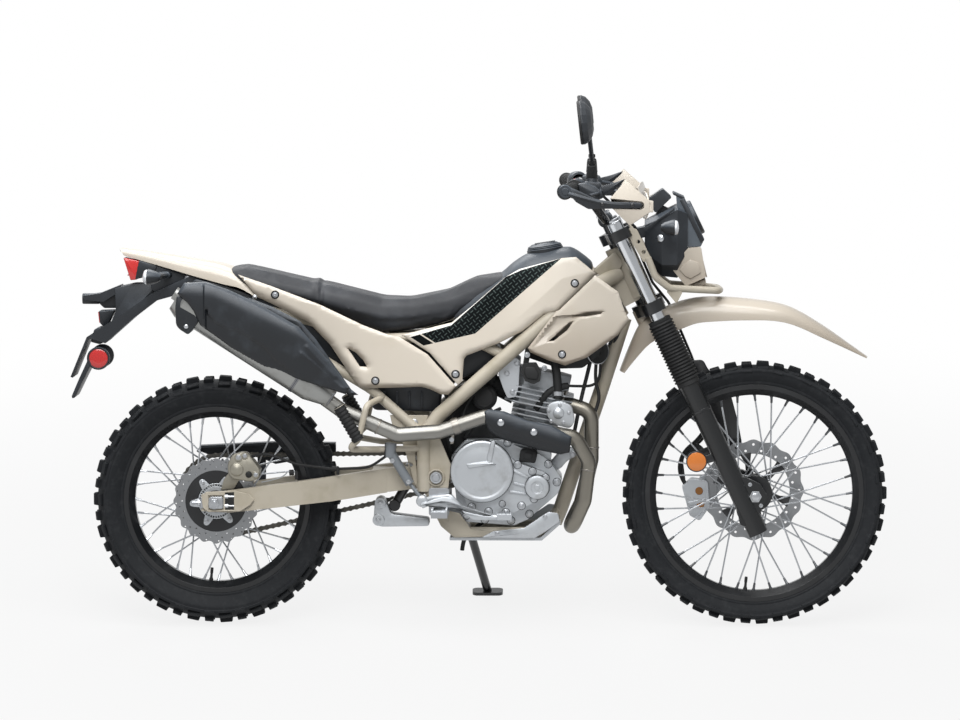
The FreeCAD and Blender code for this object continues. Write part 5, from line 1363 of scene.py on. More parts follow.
shell(smooth_stations(rows, 20), 10, guard_section)
slab(ahead([(-284, 1109), (-266, 1106), (-266, 1078), (-284, 1078), (-282, 1088), (-274, 1090), (-274, 1100),
    (-282, 1102)]), -GUARD_Y + 1, -GUARD_Y + 9, 1.5, 1.0)
twin()
piece("hand_guard_shells", "steering", sand, ["hand_guards"], sharp=45)
bar = [(-490, -412, 1128), (-440, -413, 1113), (-390, -410, 1100), (-330, -410, 1096), (-296, -404, 1096),
    (-296, -380, 1098), (-306, -300, 1106), (-340, -230, 1118), (-395, -192, 1130)]
bent(ahead(bar), 6.5)
slab(ahead([(-472, 1139), (-453, 1132), (-422, 1117), (-402, 1108), (-367, 1104), (-298, 1102), (-292, 1095),
    (-298, 1088), (-366, 1087), (-427, 1086), (-457, 1103), (-472, 1120)]), -GUARD_Y - 3, -GUARD_Y + 7, 2.5, 1.6)
turned([(0, 3), (8, 3), (9, 0.5), (15, 0.5), (17, -2), (17, -12)], (FRONT_AXLE.x - 484, -GUARD_Y - 3, 1129),
    RIGHT, 28)
turned([(0, 7), (9, 7), (12, 5), (17, 3.5), (18, 0), (18, -3), (11, -4)], GRIP_END, (-0.21, -0.977, -0.02), 28)
twin()
piece("hand_guard_bars", "steering", black_plastic)
for x, z in ((-392, 1098), (-318, 1096)):
    turned(scaled(ROUND_HEAD, 0.6, 0.7), (FRONT_AXLE.x + x, -GUARD_Y - 3, z), RIGHT, 18)
twin()
piece("guard_bar_bolts", "steering", black_paint)

# %% [markdown]
# Rubber grips have ribs round them and a flange at the inner end. Each switch housing carries its switches, and
# the mirror on its stem has a silvered glass in a rolled rim.

# %% Grips, switches and mirrors
INWARD = (Vector((FRONT_AXLE.x - 445, -215, 1132)) - GRIP_END).normalized()
line = [(15.6, 3), (20, 3.5), (20, 7), (16.6, 8)]
for i in range(17):
    start = 10 + i * 6
    line += [(16.4, start), (17.6, start + 1), (17.6, start + 3.6), (16.4, start + 4.6)]
line += [(16.6, 112), (23, 113), (24, 115), (23, 117), (16, 117.5)]
turned(line, GRIP_END, INWARD, 28)
twin()
piece("grips", "steering", black_rubber)

turned([(18, -21), (23, -20), (25, -14), (25.5, 12), (23, 19), (18, 20)], GRIP_END + INWARD * 140, INWARD, 28)
for y0, y1 in ((-262, -246), (-282, -268)):
    slab([(902, 1127), (908, 1118), (900, 1112), (892, 1122)], y0, y1, 2.0, 1.5)
slab([(938, 1146), (950, 1149), (982, 1146), (990, 1132), (984, 1114), (942, 1114), (934, 1128)],
    -264, -206, 3.0, 3.0)
turned([(0, -26), (17, -26), (15.5, -8), (13.6, 2), (0, 2)], (962, -238, 1154), (0, 0, 1), 28)
slab([(927, 1145), (948, 1147), (970, 1138), (988, 1123), (990, 1110), (978, 1105), (952, 1112), (930, 1126)],
    -330, -266, 3.0, 3.0)
slab([(984, 1138), (1012, 1145), (1044, 1156), (1038, 1147), (1004, 1116), (988, 1118)], -300, -290, 1.0, 1.0)
bent([(976, -236, 1130), (985, -246, 1131), (986, -302, 1124), (972, -350, 1120), (956, -400, 1118)], 4.6)
twin()
for y in (-46, 46):
    turned([(11, -13), (18, -12), (19.5, -8), (19.5, 8), (18, 12), (11, 13)], (996.6, y, 1042.4), LEFT)
piece("bar_fittings", "steering", black_plastic, ["hand_controls"])
turned([(0, 6), (5, 5.6), (6.4, 4.4), (6.8, 0)], (921, -268, 1150), (0.05, -0.1, 1), 18)
piece("stop_switch", "steering", red_lens)
for y in (-46, 46):
    for side in (-12, 12):
        hex_bolt(Vector((996.6, y, 1042.4)) + UP_FORK * 15 + Vector((side, 0, side * 0.466)), UP_FORK, 0.75)
for side in (-1, 1):
    cap_at = leg_point(1036, side)
    turned([(18.4, -2), (18.4, 3), (16, 4.5), (14, 4.5)], cap_at, UP_FORK, 28)
    turned([(0, 11), (11, 11), (12.5, 9.6), (12.5, 2)], cap_at, UP_FORK, 6)
turned([(0, 12), (13, 12), (15, 10.5), (15, 3)], Vector((1015, 0, 1012)) + UP_FORK * 2, UP_FORK, 6)
piece("fork_caps", "steering", panel_bolt)

glass = Finish("mirror_glass", Metallic=1.0)
dulled = glass.noise(glass.place(), 0.01, 2)
glass.give(Base_Color=glass.mix(colour("dfe3e6"), colour("cfd5da"), dulled), Roughness=0.02 + dulled * 0.02)
MIRROR_AT, MIRROR_BACK = (FRONT_AXLE.x - 448, -360, 1298), (-0.994, 0, -0.108)
turned([(0, 1.2), (48, 1.2), (49.5, 0)], MIRROR_AT, MIRROR_BACK, 48, wide=1.38)
twin()
piece("mirror_glasses", "steering", glass)
turned([(49, 0), (50, 3.2), (52.5, 3.4), (54.6, 1), (55, -3)], MIRROR_AT, MIRROR_BACK, 48, wide=1.36)
boot = Vector((FRONT_AXLE.x - 418, -236, 1156))
turned([(14, -2), (15, 0), (14.4, 6), (13, 26), (11.5, 34), (8, 36)], boot, (0, -0.3, 1))
turned([(6, 0), (9, 1), (9, 9), (6, 10)], boot + Vector((0, -10.8, 36)), (0, -0.3, 1), 6)
twin()
piece("mirror_rims", "steering", black_rubber)

# %% [markdown]
# The fork's lower ends carry the axle nut, pinch bolts and round amber reflectors. The caliper behind the left
# leg has two pistons in a cast body, with its banjo bolt and the pins that hold the pads.

# %% Fork ends and front brake
REFLECTOR_AT = (1230, -106, 430)
turned([(0, 5), (9, 5), (11, 4), (11, 0), (16, -0.5), (16, -3)], (1380, -112, FRONT_AXLE.z), RIGHT, 6)
for x, z in ((1366, 372), (1394, 318)):
    turned(scaled(BOLT_HEAD, 0.62, 0.8), (x, -110, z), RIGHT, 16)
twin()
piece("fork_end_bolts", "steering", panel_bolt)
turned([(0, 4), (22, 4), (24, 3.2), (24, 0)], REFLECTOR_AT, RIGHT, 32)
twin()
piece("front_reflectors", "steering", amber_lens)
turned([(0, -3), (26.5, -3), (27, 0), (26.5, 3.4), (24.2, 3.8), (24.2, 1)], REFLECTOR_AT, RIGHT, 32)
slab([(1240, 440), (1290, 458), (1296, 436), (1240, 420)], -106, -102, 3.0, 0.8)
slab([(1288, 470), (1300, 474), (1312, 446), (1296, 430)], -108, -84, 3.0, 1.0)
turned([(25.6, -6), (27.4, -5), (27.4, 5), (25.6, 6)], leg_point(640, -1), UP_FORK, 36)
turned([(25.4, -4), (26.8, -3), (26.8, 3), (25.4, 4)], leg_point(560, -1), UP_FORK, 36)
GUARD_PLATE = [(1198, 672), (1250, 676), (1264, 650), (1298, 618), (1323, 583), (1340, 520), (1352, 459), (1342, 440),
    (1304, 446), (1262, 540), (1222, 620)]
twin()
slab(GUARD_PLATE, 90, 94, 8.0, 1.5)
piece("fork_brackets", "steering", black_paint)
bent([(1258, 84, 498), (1239, 86, 468), (1204, 88, 441), (1189, 88, 404), (1194, 86, 370), (1208, 78, 350)], 5.6)
piece("brake_hose_sleeve", "steering", black_rubber)

caliper_gold = metal_part("caliper_bronze", "9a6a3c", 0.4, 0.5, 0.06, metallic=0.6)
for x, z in ((1226, 344), (1236, 308)):
    turned([(17, -4), (19, -3), (19, 3), (16.5, 5), (10, 5.6), (0, 5.6)], (x, 84, z), LEFT, 28)
slab([(1202, 352), (1222, 368), (1250, 362), (1258, 304), (1240, 274), (1218, 284)], 40, 46, 6.0, 2.0)
slab([(1212, 300), (1256, 312), (1256, 322), (1210, 312)], 36, 90, 3.0, 2.0)
piece("front_caliper_body", "steering", cast_alloy)
for x, z in ((1240, 340), (1244, 306)):
    turned([(0, 3), (9, 3), (10, 2), (10, -1)], (x, 40, z), RIGHT)
piece("front_caliper_pistons", "steering", caliper_gold)
for x, y, z, facing in ((1204, 66, 350, (-1, 0, 0)), (1262, 84, 380, LEFT), (1300, 84, 402, LEFT)):
    hex_bolt((x, y, z), facing, 0.9)
piece("front_caliper_bolts", "steering", panel_bolt)

# %% [markdown]
# The engine is where most of the small parts are. Its cast covers are held by rows of flanged bolts on raised
# bosses, the clutch cover is domed inside a raised rim, and the head carries the plug cap, the breather hose, the
# coil and the header's flange. Black rings round the covers stand for their gaskets and for the shade in the gaps,
# and black rings round the bolt bosses are painted shade.

# %% Engine covers
slab([(843, 402), (884, 449), (917, 457), (926, 440), (899, 423), (884, 405), (862, 396)], -34, -26, 5.0, 2.0)
twin()
clutch, small = (683, -124, 405), (824, -120, 364)
turned([(0, 4.6), (30, 4.2), (52, 2.6), (62, 0.8), (66, 0.5), (69, 2.6), (75, 2.4), (78.4, 0.4), (79.6, -4),
    (79.6, -14)], clutch, RIGHT, 72)
turned([(0, 2.4), (6, 2.4), (7, 1.2), (15, 1.2), (16, 2.8), (25, 2.6), (29, 1.2), (30.6, -2), (30.6, -12)],
    small, RIGHT, 48)
slab([(708, 486), (718, 484), (708, 430), (700, 428), (696, 440)], -132, -118, 3.0, 2.0)
slab([(644, 424), (700, 432), (720, 424), (700, 421), (650, 414)], -131.5, -124, 2.0, 1.5)
for line in ([(760, 404), (800, 386), (803, 391), (764, 410)], [(762, 372), (794, 364), (795, 369), (763, 378)],
             [(752, 350), (796, 344), (796, 349), (754, 356)]):
    slab(line, -113, -106, 1.0, 1.0)
COVER_BOLTS = [(x, -108, z) for x, z in ((657, 313), (700, 301), (744, 299), (784, 316), (816, 334), (845, 358),
                                         (845, 388), (812, 404), (774, 421))]
COVER_BOLTS += [(x, -78, z) for x, z in ((641, 286), (690, 277), (757, 275), (804, 292), (874, 374), (852, 420),
                                         (748, 474), (618, 440))]
ALTERNATOR_BOLTS = circle(782, 370, 62, 6, 0.3)
for spot in COVER_BOLTS:
    turned([(9.5, -3), (9.5, 2.5), (8.4, 3.6), (0, 3.6)], spot, RIGHT)
turned([(0, 3.4), (20, 3.4), (22, 1.6), (54, 1.4), (58, 2.8), (68, 2.4), (71.6, 0.2), (72.4, -4)], (782, 110, 370),
    LEFT, 64)
for x, z in ALTERNATOR_BOLTS:
    turned([(8, -3), (8, 1.5), (0, 1.6)], (x, 111, z), LEFT, 20)
slab([(846, 566), (858, 580), (884, 584), (912, 572), (920, 532), (908, 512), (868, 522), (850, 540)],
    -92, -72, 8.0, 3.0)
turned([(0, 7), (6, 6.4), (10, 4), (13, 3), (14, 0), (14, -2)], (878, -92, 552), RIGHT, 32)
turned([(0, 0), (21, 0), (22, -2), (22, -40), (18, -44)], (838, -62, 440), RIGHT, 32)
piece("engine_castings", "chassis", cast_alloy, sharp=40)

for x, y, z in COVER_BOLTS:
    hex_bolt((x, y - 3.4, z), RIGHT, 0.95)
for x, z in ALTERNATOR_BOLTS:
    hex_bolt((x, 112.4, z), LEFT, 0.8)
for x, z in ((640, 372), (700, 350), (706, 424), (640, 436)):
    hex_bolt(skin("engine_cases", x, z, 1)[0], LEFT, 0.8)
for x, z in circle(0, 0, 1, 5, 0.15):
    hex_bolt((878 + 27 * x, -92, 548 + 24 * z), RIGHT, 0.66)
for side in (-1, 1):
    hex_bolt((914, side * 34, 441), (0, side, 0), 1.1)
    for x, z in ((772, 678), (746, 652), (760, 604)):
        hex_bolt((x, side * 78, z), (0, side, 0), 0.95)
for x, y, z in ((798, -108, 702), (842, -96, 667)):
    bolt((x, y, z), RIGHT, 0.86)
turned([(5, -8), (5, 30)], (842, -96, 667), LEFT, 14)
turned([(12.4, -6), (14.4, -5), (14.4, 5), (12.4, 6)], (876, -76, 600), (0, 0.1, 1), 28)
piece("engine_bolts", "chassis", panel_bolt)

# Black rings round the clutch and small covers: gaskets, and painted shade in the gaps.
turned([(79.4, -13), (81, -13), (81, -10.6), (79.4, -10.6)], clutch, RIGHT, 72)
turned([(30.4, -9), (32, -9), (32, -7), (30.4, -7)], small, RIGHT, 48)
turned([(0, 1.2), (8.6, 1.2), (9.4, 0)], (735, -108, 321), RIGHT, 28)
# Painted shade: a black ring round the foot of each bolt boss.
for spot in COVER_BOLTS:
    turned([(9.6, -3), (9.6, 0.6), (10.8, 0.6), (10.8, -3)], spot, RIGHT)
slab([(777, 428), (781, 458), (800, 463), (825, 452), (819, 424)], -102, -60, 5.0, 3.0)
slab([(789, 435), (792, 452), (812, 450), (810, 434)], -104, -100, 3.0, 1.5)
turned([(0, 0), (24, 0), (30, -2), (33, -6), (33, -14), (31, -15), (31, -30)], (688, -66, 590), (0, -1, 0.1), 36)
turned([(22, 0), (24, 2), (26, 1), (26, -3)], (688, -66, 590), (0, -1, 0.1), 36)
slab([(794, 672), (818, 672), (828, 655), (824, 638), (797, 642), (790, 657)], -113, -108, 5.0, 2.5)
bent([(820, -60, 560), (834, -72, 580), (850, -78, 604), (874, -74, 616), (902, -66, 620)], 8.5)
bent([(896, -66, 620), (930, -60, 618), (968, -44, 618), (986, -34, 640), (984, -30, 690)], 3.6)
bent([(876, -78, 588), (876, -78, 620), (872, -78, 664), (862, -70, 700), (850, -50, 740)], 11)
bent([(640, -60, 486), (660, -72, 520), (700, -60, 548), (730, -50, 560)], 4.5)
bent([(602, -70, 452), (590, -86, 500), (612, -80, 560), (640, -66, 610)], 4.0)
bent([(690, -30, 270), (650, -20, 240), (632, -12, 216), (630, -10, 190)], 5.5)
for x, y, z in ((1000, -34, 884), (1004, -26, 872), (1010, -20, 862)):
    bent([(x - 40, y - 4, z - 30), (x, y - 4, z - 8), (x + 36, y - 8, z - 40), (x + 30, y - 6, z - 90),
        (x + 4, y + 10, z - 150)], 4.5)
slab([(576, 560), (640, 600), (700, 560), (734, 520), (734, 482), (660, 478), (628, 440), (606, 404), (584, 404),
    (576, 470)], -34, 34, 6.0, 3.0)
slab([(800, 735), (960, 742), (998, 760), (984, 700), (940, 664), (880, 662), (800, 690)], -50, 50, 6.0, 3.0)
bent([(975, -40, 690), (969, -44, 633), (984, -46, 594), (974, -46, 556), (957, -44, 525), (961, -42, 494),
    (968, -40, 486)], 4.6)
bent([(966, -38, 712), (953, -38, 654), (940, -46, 604), (928, -48, 550), (917, -46, 492)], 5.2)
bent([(700, -50, 650), (660, -70, 600), (636, -76, 560), (628, -70, 500), (640, -40, 470)], 4.4)
bent([(560, -60, 640), (600, -76, 590), (610, -74, 530), (600, -60, 470), (606, -40, 430)], 5.0)
horn, horn_facing = (978, -44, 706), (0.5, -0.85, 0)
turned([(0, -4), (8, -3), (10, 0), (24, -3), (31, 0), (32, -4), (29, -12), (15, -22), (0, -23)],
    horn, horn_facing, 36)
piece("engine_rubber_parts", "chassis", black_rubber, sharp=45)
turned([(30.6, -1), (31.4, 1.2), (33, 1), (33.4, -3)], horn, horn_facing, 36)
turned([(0, 0.8), (6, 0.6), (7.6, 0), (7.6, 1.4), (8.4, 1.4), (8.4, 0)], (735, -109, 321), RIGHT)
piece("engine_trim_rings", "chassis", zinc_steel)

# %% [markdown]
# The header is held to the head by a flange with two studded nuts; a band clamp joins it to the silencer, and
# welds show as small rings where its bends meet.

# %% Header joints
port = Vector((880, -34, 578))
out = Vector((0.945, -0.138, -0.2996))
turned([(19, -6), (31, -6), (32, -4), (32, 3), (30, 5), (21, 5.5), (19.4, 6)], port + out * 8, out, 36)
for at, axis in (((953.4, -113.6, 409), (0.119, 0, 0.993)), ((962, -47.6, 460), (0, 0, 1)),
                 ((760, -130.4, 529.8), (-0.95, -0.08, 0.28)), ((420, -139.6, 521), (-0.9, -0.03, 0.38))):
    turned([(18.6, -3), (20.2, -2), (20.4, 0), (20.2, 2), (18.6, 3)], at, axis, 36)
turned([(19, -9), (21.6, -8.6), (22, 0), (21.6, 8.6), (19, 9)], (618, -137.2, 522), (-0.94, -0.01, -0.33), 36)
slab([(606, 502), (614, 504), (612, 478), (603, 476)], -142, -132, 2.0, 1.5)
piece("header_joints", "chassis", metal_part("joint_steel", "8e8a84", 0.3, 0.4, 0.04))
for shift in (-1, 1):
    hex_bolt(port + out * 13 + Vector((0.1, 0.35, 0.3)).normalized() * 26 * shift, out, 0.95)
hex_bolt((607, -142, 488), RIGHT, 0.8)
piece("header_nuts", "chassis", panel_bolt)

# %% [markdown]
# Low down are the parts a boot touches: the forged brake pedal with its toothed pad, pegs with a saw-edged rim,
# the pillion's rubber pegs, the gear lever's rubber and the bent skid plate with side wings.

# %% Foot controls, skid plate and stand
WING = [(681, 233), (712, 250), (790, 258), (852, 300), (877, 296), (882, 276), (847, 250), (817, 232)]
slab(WING, -101, -98, 3.0, 1.0)
for i in range(8):
    y = -130 - i * 10.6
    for x in (556, 592):
        slab([(x, 309), (x + 1, 316), (x + 5, 316), (x + 6, 309)], y, y - 6.2, edge=0.5)
slab([(560, 309), (594, 309), (594, 312), (560, 312)], -206, -211)
twin()
PEDAL = [(527, 323), (560, 336), (583, 342), (606, 341), (638, 315), (668, 295), (700, 294), (735, 294), (738, 284),
    (700, 283), (662, 283), (630, 304), (602, 327), (582, 329), (560, 324), (533, 312)]
slab(PEDAL, -148, -136, 2.5, 2.6)
for i in range(6):
    x = 724 + i * 6.2
    slab([(x, 298), (x + 2.8, 304), (x + 5.6, 298)], -160, -130, edge=0.5)
turned([(0, 4), (9, 4), (13, 2.4), (15, 0), (15, -4)], (531, -136, 330), RIGHT, 32)
piece("foot_metal", "chassis", cast_alloy, sharp=40)

slab([(556, 306), (598, 327), (622, 300), (655, 255), (705, 247), (690, 235), (612, 233), (578, 262)],
    -99, -95.5, 3.0, 1.0)
slab([(966, 912), (1021, 961), (1030, 952), (1042, 930), (1032, 915), (994, 893)], -35, -29, 4.0, 1.5)
twin()
for side in (-1, 1):
    turned([(17.5, 1), (18.5, 6), (22, 5), (23.5, 0), (23.5, -3)], (566, side * 106, 388), (0, side, 0), 36)
piece("frame_plates", "chassis", khaki, sharp=45)

for side in (-1, 1):
    turned([(0, 5.5), (9.6, 5.5), (11, 4.2), (11, 0)], (566, side * 115, 388), (0, side, 0), 6)
    turned([(11, 1.6), (14.5, 1.2), (15, 0)], (566, side * 115, 388), (0, side, 0), 28)
    turned([(0, 4), (11.5, 4), (13, 2.6), (13, -1)], (0, side * 118, REAR_AXLE.z), (0, side, 0), 6)
    turned([(0, 9), (6, 9), (7, 8), (7, 3)], (0, side * 118, REAR_AXLE.z), (0, side, 0), 20)
    bent([(-58, side * 92, 321), (-46, side * 92, 321), (-30, side * 92, 321)], 4.0)
    turned([(0, 5), (7, 5), (8, 4), (8, -1)], (-40, side * 92, 321), (-1, 0, 0), 6)
    for x, z in ((844, 286), (722, 243)):
        hex_bolt((x, side * 101, z), (0, side, 0), 0.85)
    hex_bolt((580, side * 132, 330), (0, side, 0), 0.9)
    for x in (820, 700):
        hex_bolt((x, side * 50, 225), (0, 0, -1), 0.8)
for x, z in ((455, 432), (496, 378)):
    bolt((x, -124, z), RIGHT, 0.7)
piece("chassis_bolts", "chassis", panel_bolt)

for side in (-1, 1):
    low, high = Vector((372, side * 184, 490)), Vector((322, side * 184, 575))
    axis = (high - low).normalized()
    line = [(8, -2), (15, -1)]
    for i in range(9):
        start = 4 + i * 10
        line += [(14.2, start), (16.2, start + 1.4), (16.2, start + 6), (14.2, start + 7.4)]
    line += [(15, 96), (12, 100), (0, 101)]
    turned(line, low, axis)
turned([(6, -2), (11, -1)] + [(r, 4 + i * 6 + s) for i in range(6) for s, r in ((0, 10), (1, 11.6), (3, 11.6),
    (4, 10))] + [(11, 42), (8, 44), (0, 44)], (800, 128, 322), LEFT)
piece("foot_rubbers", "chassis", black_rubber)

# %% Shock absorber
SHOCK_LOW, SHOCK_HIGH = Vector((456, 0, 306)), Vector((634, 0, 604))
UP_SHOCK = (SHOCK_HIGH - SHOCK_LOW).normalized()
turned([(0, 0), (12, 0), (12, 60), (9, 62), (9, 84), (31, 85), (31, 92), (27, 95), (16, 96), (16, 274), (28, 276),
    (31, 279), (31, 298), (26, 302), (14, 304), (14, 346), (0, 347)], SHOCK_LOW, UP_SHOCK, 36)
for along_shock in (0, 347):
    centre = SHOCK_LOW + UP_SHOCK * along_shock
    turned([(0, 16), (13, 16), (15, 14), (15, -14), (13, -16), (0, -16)], centre, LEFT, 28)
piece("shock_body", "chassis", black_paint, ["rear_shock"])
made = bmesh.new()
bmesh.ops.create_circle(made, segments=10, radius=5.2)
bmesh.ops.rotate(made, verts=made.verts, cent=(0, 0, 0), matrix=Matrix.Rotation(math.pi / 2, 3, "X"))
bmesh.ops.translate(made, verts=made.verts, vec=(25, 0, 0))
bmesh.ops.spin(made, geom=made.verts[:] + made.edges[:], axis=(0, 0, 1), cent=(0, 0, 0), dvec=(0, 0, 170 / 168),
               angle=7 * math.tau, steps=168)
made.edges.ensure_lookup_table()
bmesh.ops.holes_fill(made, edges=[e for e in made.edges if e.is_boundary], sides=0)
bmesh.ops.recalc_face_normals(made, faces=made.faces)
made.transform(facing_at(SHOCK_LOW + UP_SHOCK * 101, UP_SHOCK))
gather(made)
piece("shock_spring", "chassis", metal_part("spring_paint", "cfd2d6", 0.3, 0.4, 0.03, metallic=0.3))

# %% [markdown]
# The rocker that works the shock is cast alloy, and the battery and air box fill the space under the seat with
# ribbed black plastic. Khaki plates join the seat rails to the main frame.

# %% Rocker, frame plates and boxes under the seat
slab([(402, 262), (406, 322), (420, 330), (436, 316), (448, 286), (546, 274), (546, 254), (420, 252)],
    -26, 26, 7.0, 3.0)
for x, z, radius in ((420, 314, 14), (415, 270, 15)):
    turned([(0, 30), (radius, 30), (radius, -30), (0, -30)], (x, 0, z), LEFT, 28)
piece("rocker_arm", "chassis", cast_alloy)
plate = [[(448, 546), (546, 546), (536, 516), (516, 492), (513, 438), (521, 356), (508, 374), (489, 445), (474, 492),
    (454, 519)], circle(500, 418, 6, 20), circle(506, 462, 5, 20)]
thick_sheet(plate, -92, -88, 1.0)
twin()
piece("seat_rail_plates", "chassis", khaki)
for side in (-1, 1):
    for x, z, size in ((509, 525, 1.5), (476, 538, 0.7)):
        hex_bolt((x, side * 92, z), (0, side, 0), size)
    for x, z in ((420, 314), (415, 270)):
        hex_bolt((x, side * 30, z), (0, side, 0))
piece("rail_plate_bolts", "chassis", panel_bolt)
for x in (430, 462, 494, 526):
    slab([(x, 562), (x + 5, 562), (x + 5, 604), (x, 604)], -66, -60, edge=1.0)
twin()
slab([(400, 556), (572, 552), (580, 612), (640, 642), (716, 672), (736, 706), (700, 738), (560, 744), (470, 736),
    (400, 650)], -62, 62, 14.0, 6.0)
slab([(280, 680), (400, 640), (420, 720), (300, 792), (180, 822), (96, 851), (20, 878), (-50, 892), (-60, 880),
    (10, 860), (90, 828)], -76, 76, 5.0, 3.0)
piece("air_box", "chassis", black_plastic, sharp=40)

# %% [markdown]
# Each spoke ends in a nipple at the rim. The spokes follow the same rule as in the CAD model, so one loop finds
# every end and the direction its nipple must point.

# %% Wheel details
def nipples(axle, inner, hub_radius, hub_side):
    """A nipple at the rim's end of every spoke."""
    for i in range(36):
        side = 1 if i % 2 else -1
        a = math.tau * i / 36
        hub_a = a + math.radians(52) * (1 if (i // 2) % 2 else -1)
        end = axle + round_point(inner, a, side * 4)
        start = axle + round_point(hub_radius, hub_a, side * hub_side)
        turned([(1.8, 18), (3.0, 16), (3.4, 3), (4.8, 1), (4.8, -6)], end, (start - end).normalized(), 8)


nipple_steel = metal_part("nipple_steel", "5c5e61", 0.36, 0.4, 0.03)
for wheel, axle, inner, hub_radius, hub_side in (("rear_wheel", REAR_AXLE, 212, 62, 31),
                                                 ("front_wheel", FRONT_AXLE, 252, 46, 27)):
    nipples(axle, inner, hub_radius, hub_side)
    piece(wheel + "_nipples", wheel, nipple_steel if wheel == "front_wheel" else panel_bolt)
    foot = axle + round_point(inner, math.radians(265))
    turned([(5.5, -5), (5.5, 3), (3.6, 8), (3.2, 18), (4.0, 19), (4.0, 31), (3.2, 33), (0, 33)],
        foot, axle - foot, 18)
    piece(wheel + "_valve", wheel, black_rubber)

place = about(REAR_AXLE)
thick_sheet([circle(0, 0, 80, 72), circle(0, 0, 47, 56)], -58.6, -55.4, 0.6, place=place)
piece("rear_disc_carrier", "rear_wheel", black_paint)
teeth = [circle(0, 0, 46, 64), circle(0, 0, 26, 40)]
for i in range(40):
    a = math.tau * i / 40
    c, s = math.cos(a), math.sin(a)
    teeth.append([(c * r - s * w, s * r + c * w) for r, w in ((38.5, -1.5), (43, -1.5), (43, 1.5), (38.5, 1.5))])
thick_sheet(teeth, -60, -57.5, 0.4, place=place)
for i in range(6):
    turn = place @ Matrix.Rotation(-math.radians(6 + 60 * i), 4, "Y")
    slab([(42, -12), (60, -8.5), (68, -5), (68, 5), (60, 8.5), (42, 12)], -60.4, -58, 4.0, 0.8, place=turn)
piece("rear_disc_spider", "rear_wheel", cast_alloy)
for i in range(6):
    turn = place @ Matrix.Rotation(-math.radians(6 + 60 * i), 4, "Y")
    hex_bolt(turn @ Vector((58.6, -60.4, 0)), RIGHT, 0.8)
    hex_bolt(turn @ Vector((56, 69, 0)), LEFT, 0.8)
piece("rear_hub_bolts", "rear_wheel", panel_bolt)

# %% [markdown]
# The rear caliper straddles the disc, with its piston cover outermost. At the arm's end the khaki plates leave a
# slot for the axle block and the chain adjuster, and the hose is clipped along the arm's top.

# %% Rear caliper and arm ends
slab([(44, 443), (70, 451), (84, 450), (98, 428), (116, 404), (113, 381), (90, 373), (70, 376), (44, 380), (32, 397),
    (32, 420)], -84, -62.5, 7.0, 4.0)
slab([(84, 440), (99, 428), (116, 404), (113, 384), (106, 386), (104, 402), (93, 420), (80, 433)], -64, -36, 3.0, 2.0)
slab([(84, 440), (99, 428), (116, 404), (113, 384), (90, 378), (70, 400), (70, 430)], -51.5, -38, 5.0, 2.5)
slab([(12, 350), (46, 352), (60, 376), (84, 382), (84, 400), (40, 404), (22, 380)], -70, -62.5, 4.0, 1.5)
turned([(0, 6), (8, 6), (10, 4.6), (14.6, 4.2), (16.6, 2.6), (17.6, -3)], (55, -84, 405), RIGHT, 36)
turned([(10, -3), (10, 3), (8, 4), (0, 4)], (60, -84, 436), RIGHT, 28)
for x, z in ((104, 391), (76, 440)):
    turned([(9, -4), (9, 2), (8, 3), (0, 3)], (x, -83, z), RIGHT)
piece("rear_caliper_body", "chassis", metal_part("caliper_alloy", "a19d91", 0.36, 0.5, 0.12, metallic=0.75, edge=1.5),
    ["rear_caliper"], sharp=40)
for x, z in ((104, 391), (76, 440)):
    hex_bolt((x, -86, z), RIGHT, 0.75)
hex_bolt((60, -88, 436), RIGHT, 0.9)
bent([(118, -78, 372), (176, -88, 382), (184, -92, 398)], 1.6)
piece("rear_caliper_bolts", "chassis", panel_bolt)
turned([(0, 5), (5, 5), (8.4, 3), (8.4, -3)], (86, -84, 392), RIGHT)
for x, z in ((206, 390), (312, 402)):
    slab([(x, z - 8), (x + 7, z - 8), (x + 8, z + 10), (x + 3, z + 16), (x - 1, z + 10)], -107.5, -104, 2.0, 0.8)
for x, z in ((196, 398), (306, 408)):
    turned([(4, -6), (7.4, -6), (7.4, 6), (4, 6)], (x, -90, z), (1, 0, 0.1), 16)
piece("rear_caliper_boots", "chassis", black_rubber)
arm_end = [[(-22, 350), (51, 354), (88, 345), (102, 331), (92, 317), (66, 300), (26, 300), (-16, 298), (-30, 310),
    (-33, 332)], [(-15, 341), (23, 341), (23, 304), (-15, 304)], [(27, 348), (50, 349), (50, 304), (27, 304)]]
thick_sheet(arm_end, -113, -109.5, 1.0)
twin()
piece("arm_end_plates", "chassis", khaki)
slab([(26, 350), (51, 351), (51, 302), (26, 302)], -110.6, -109.8)
twin()
piece("arm_slot_shade", "chassis", black_rubber)
for z in (314, 338):
    turned([(0, 0), (5.4, 0), (5.4, 9), (3.4, 9), (3.4, 24), (0, 24)], (26, -108.4, z), (1, 0, 0), 6)
slab([(-12, 338), (21, 338), (21, 307), (-12, 307)], -116, -110, 3.0, 1.5)
twin()
piece("chain_adjusters", "chassis", zinc_steel)

# %% [markdown]
# The black tank cover is one smooth shell, broader in the middle, with a ribbed filler cap that rises a little to
# the front.

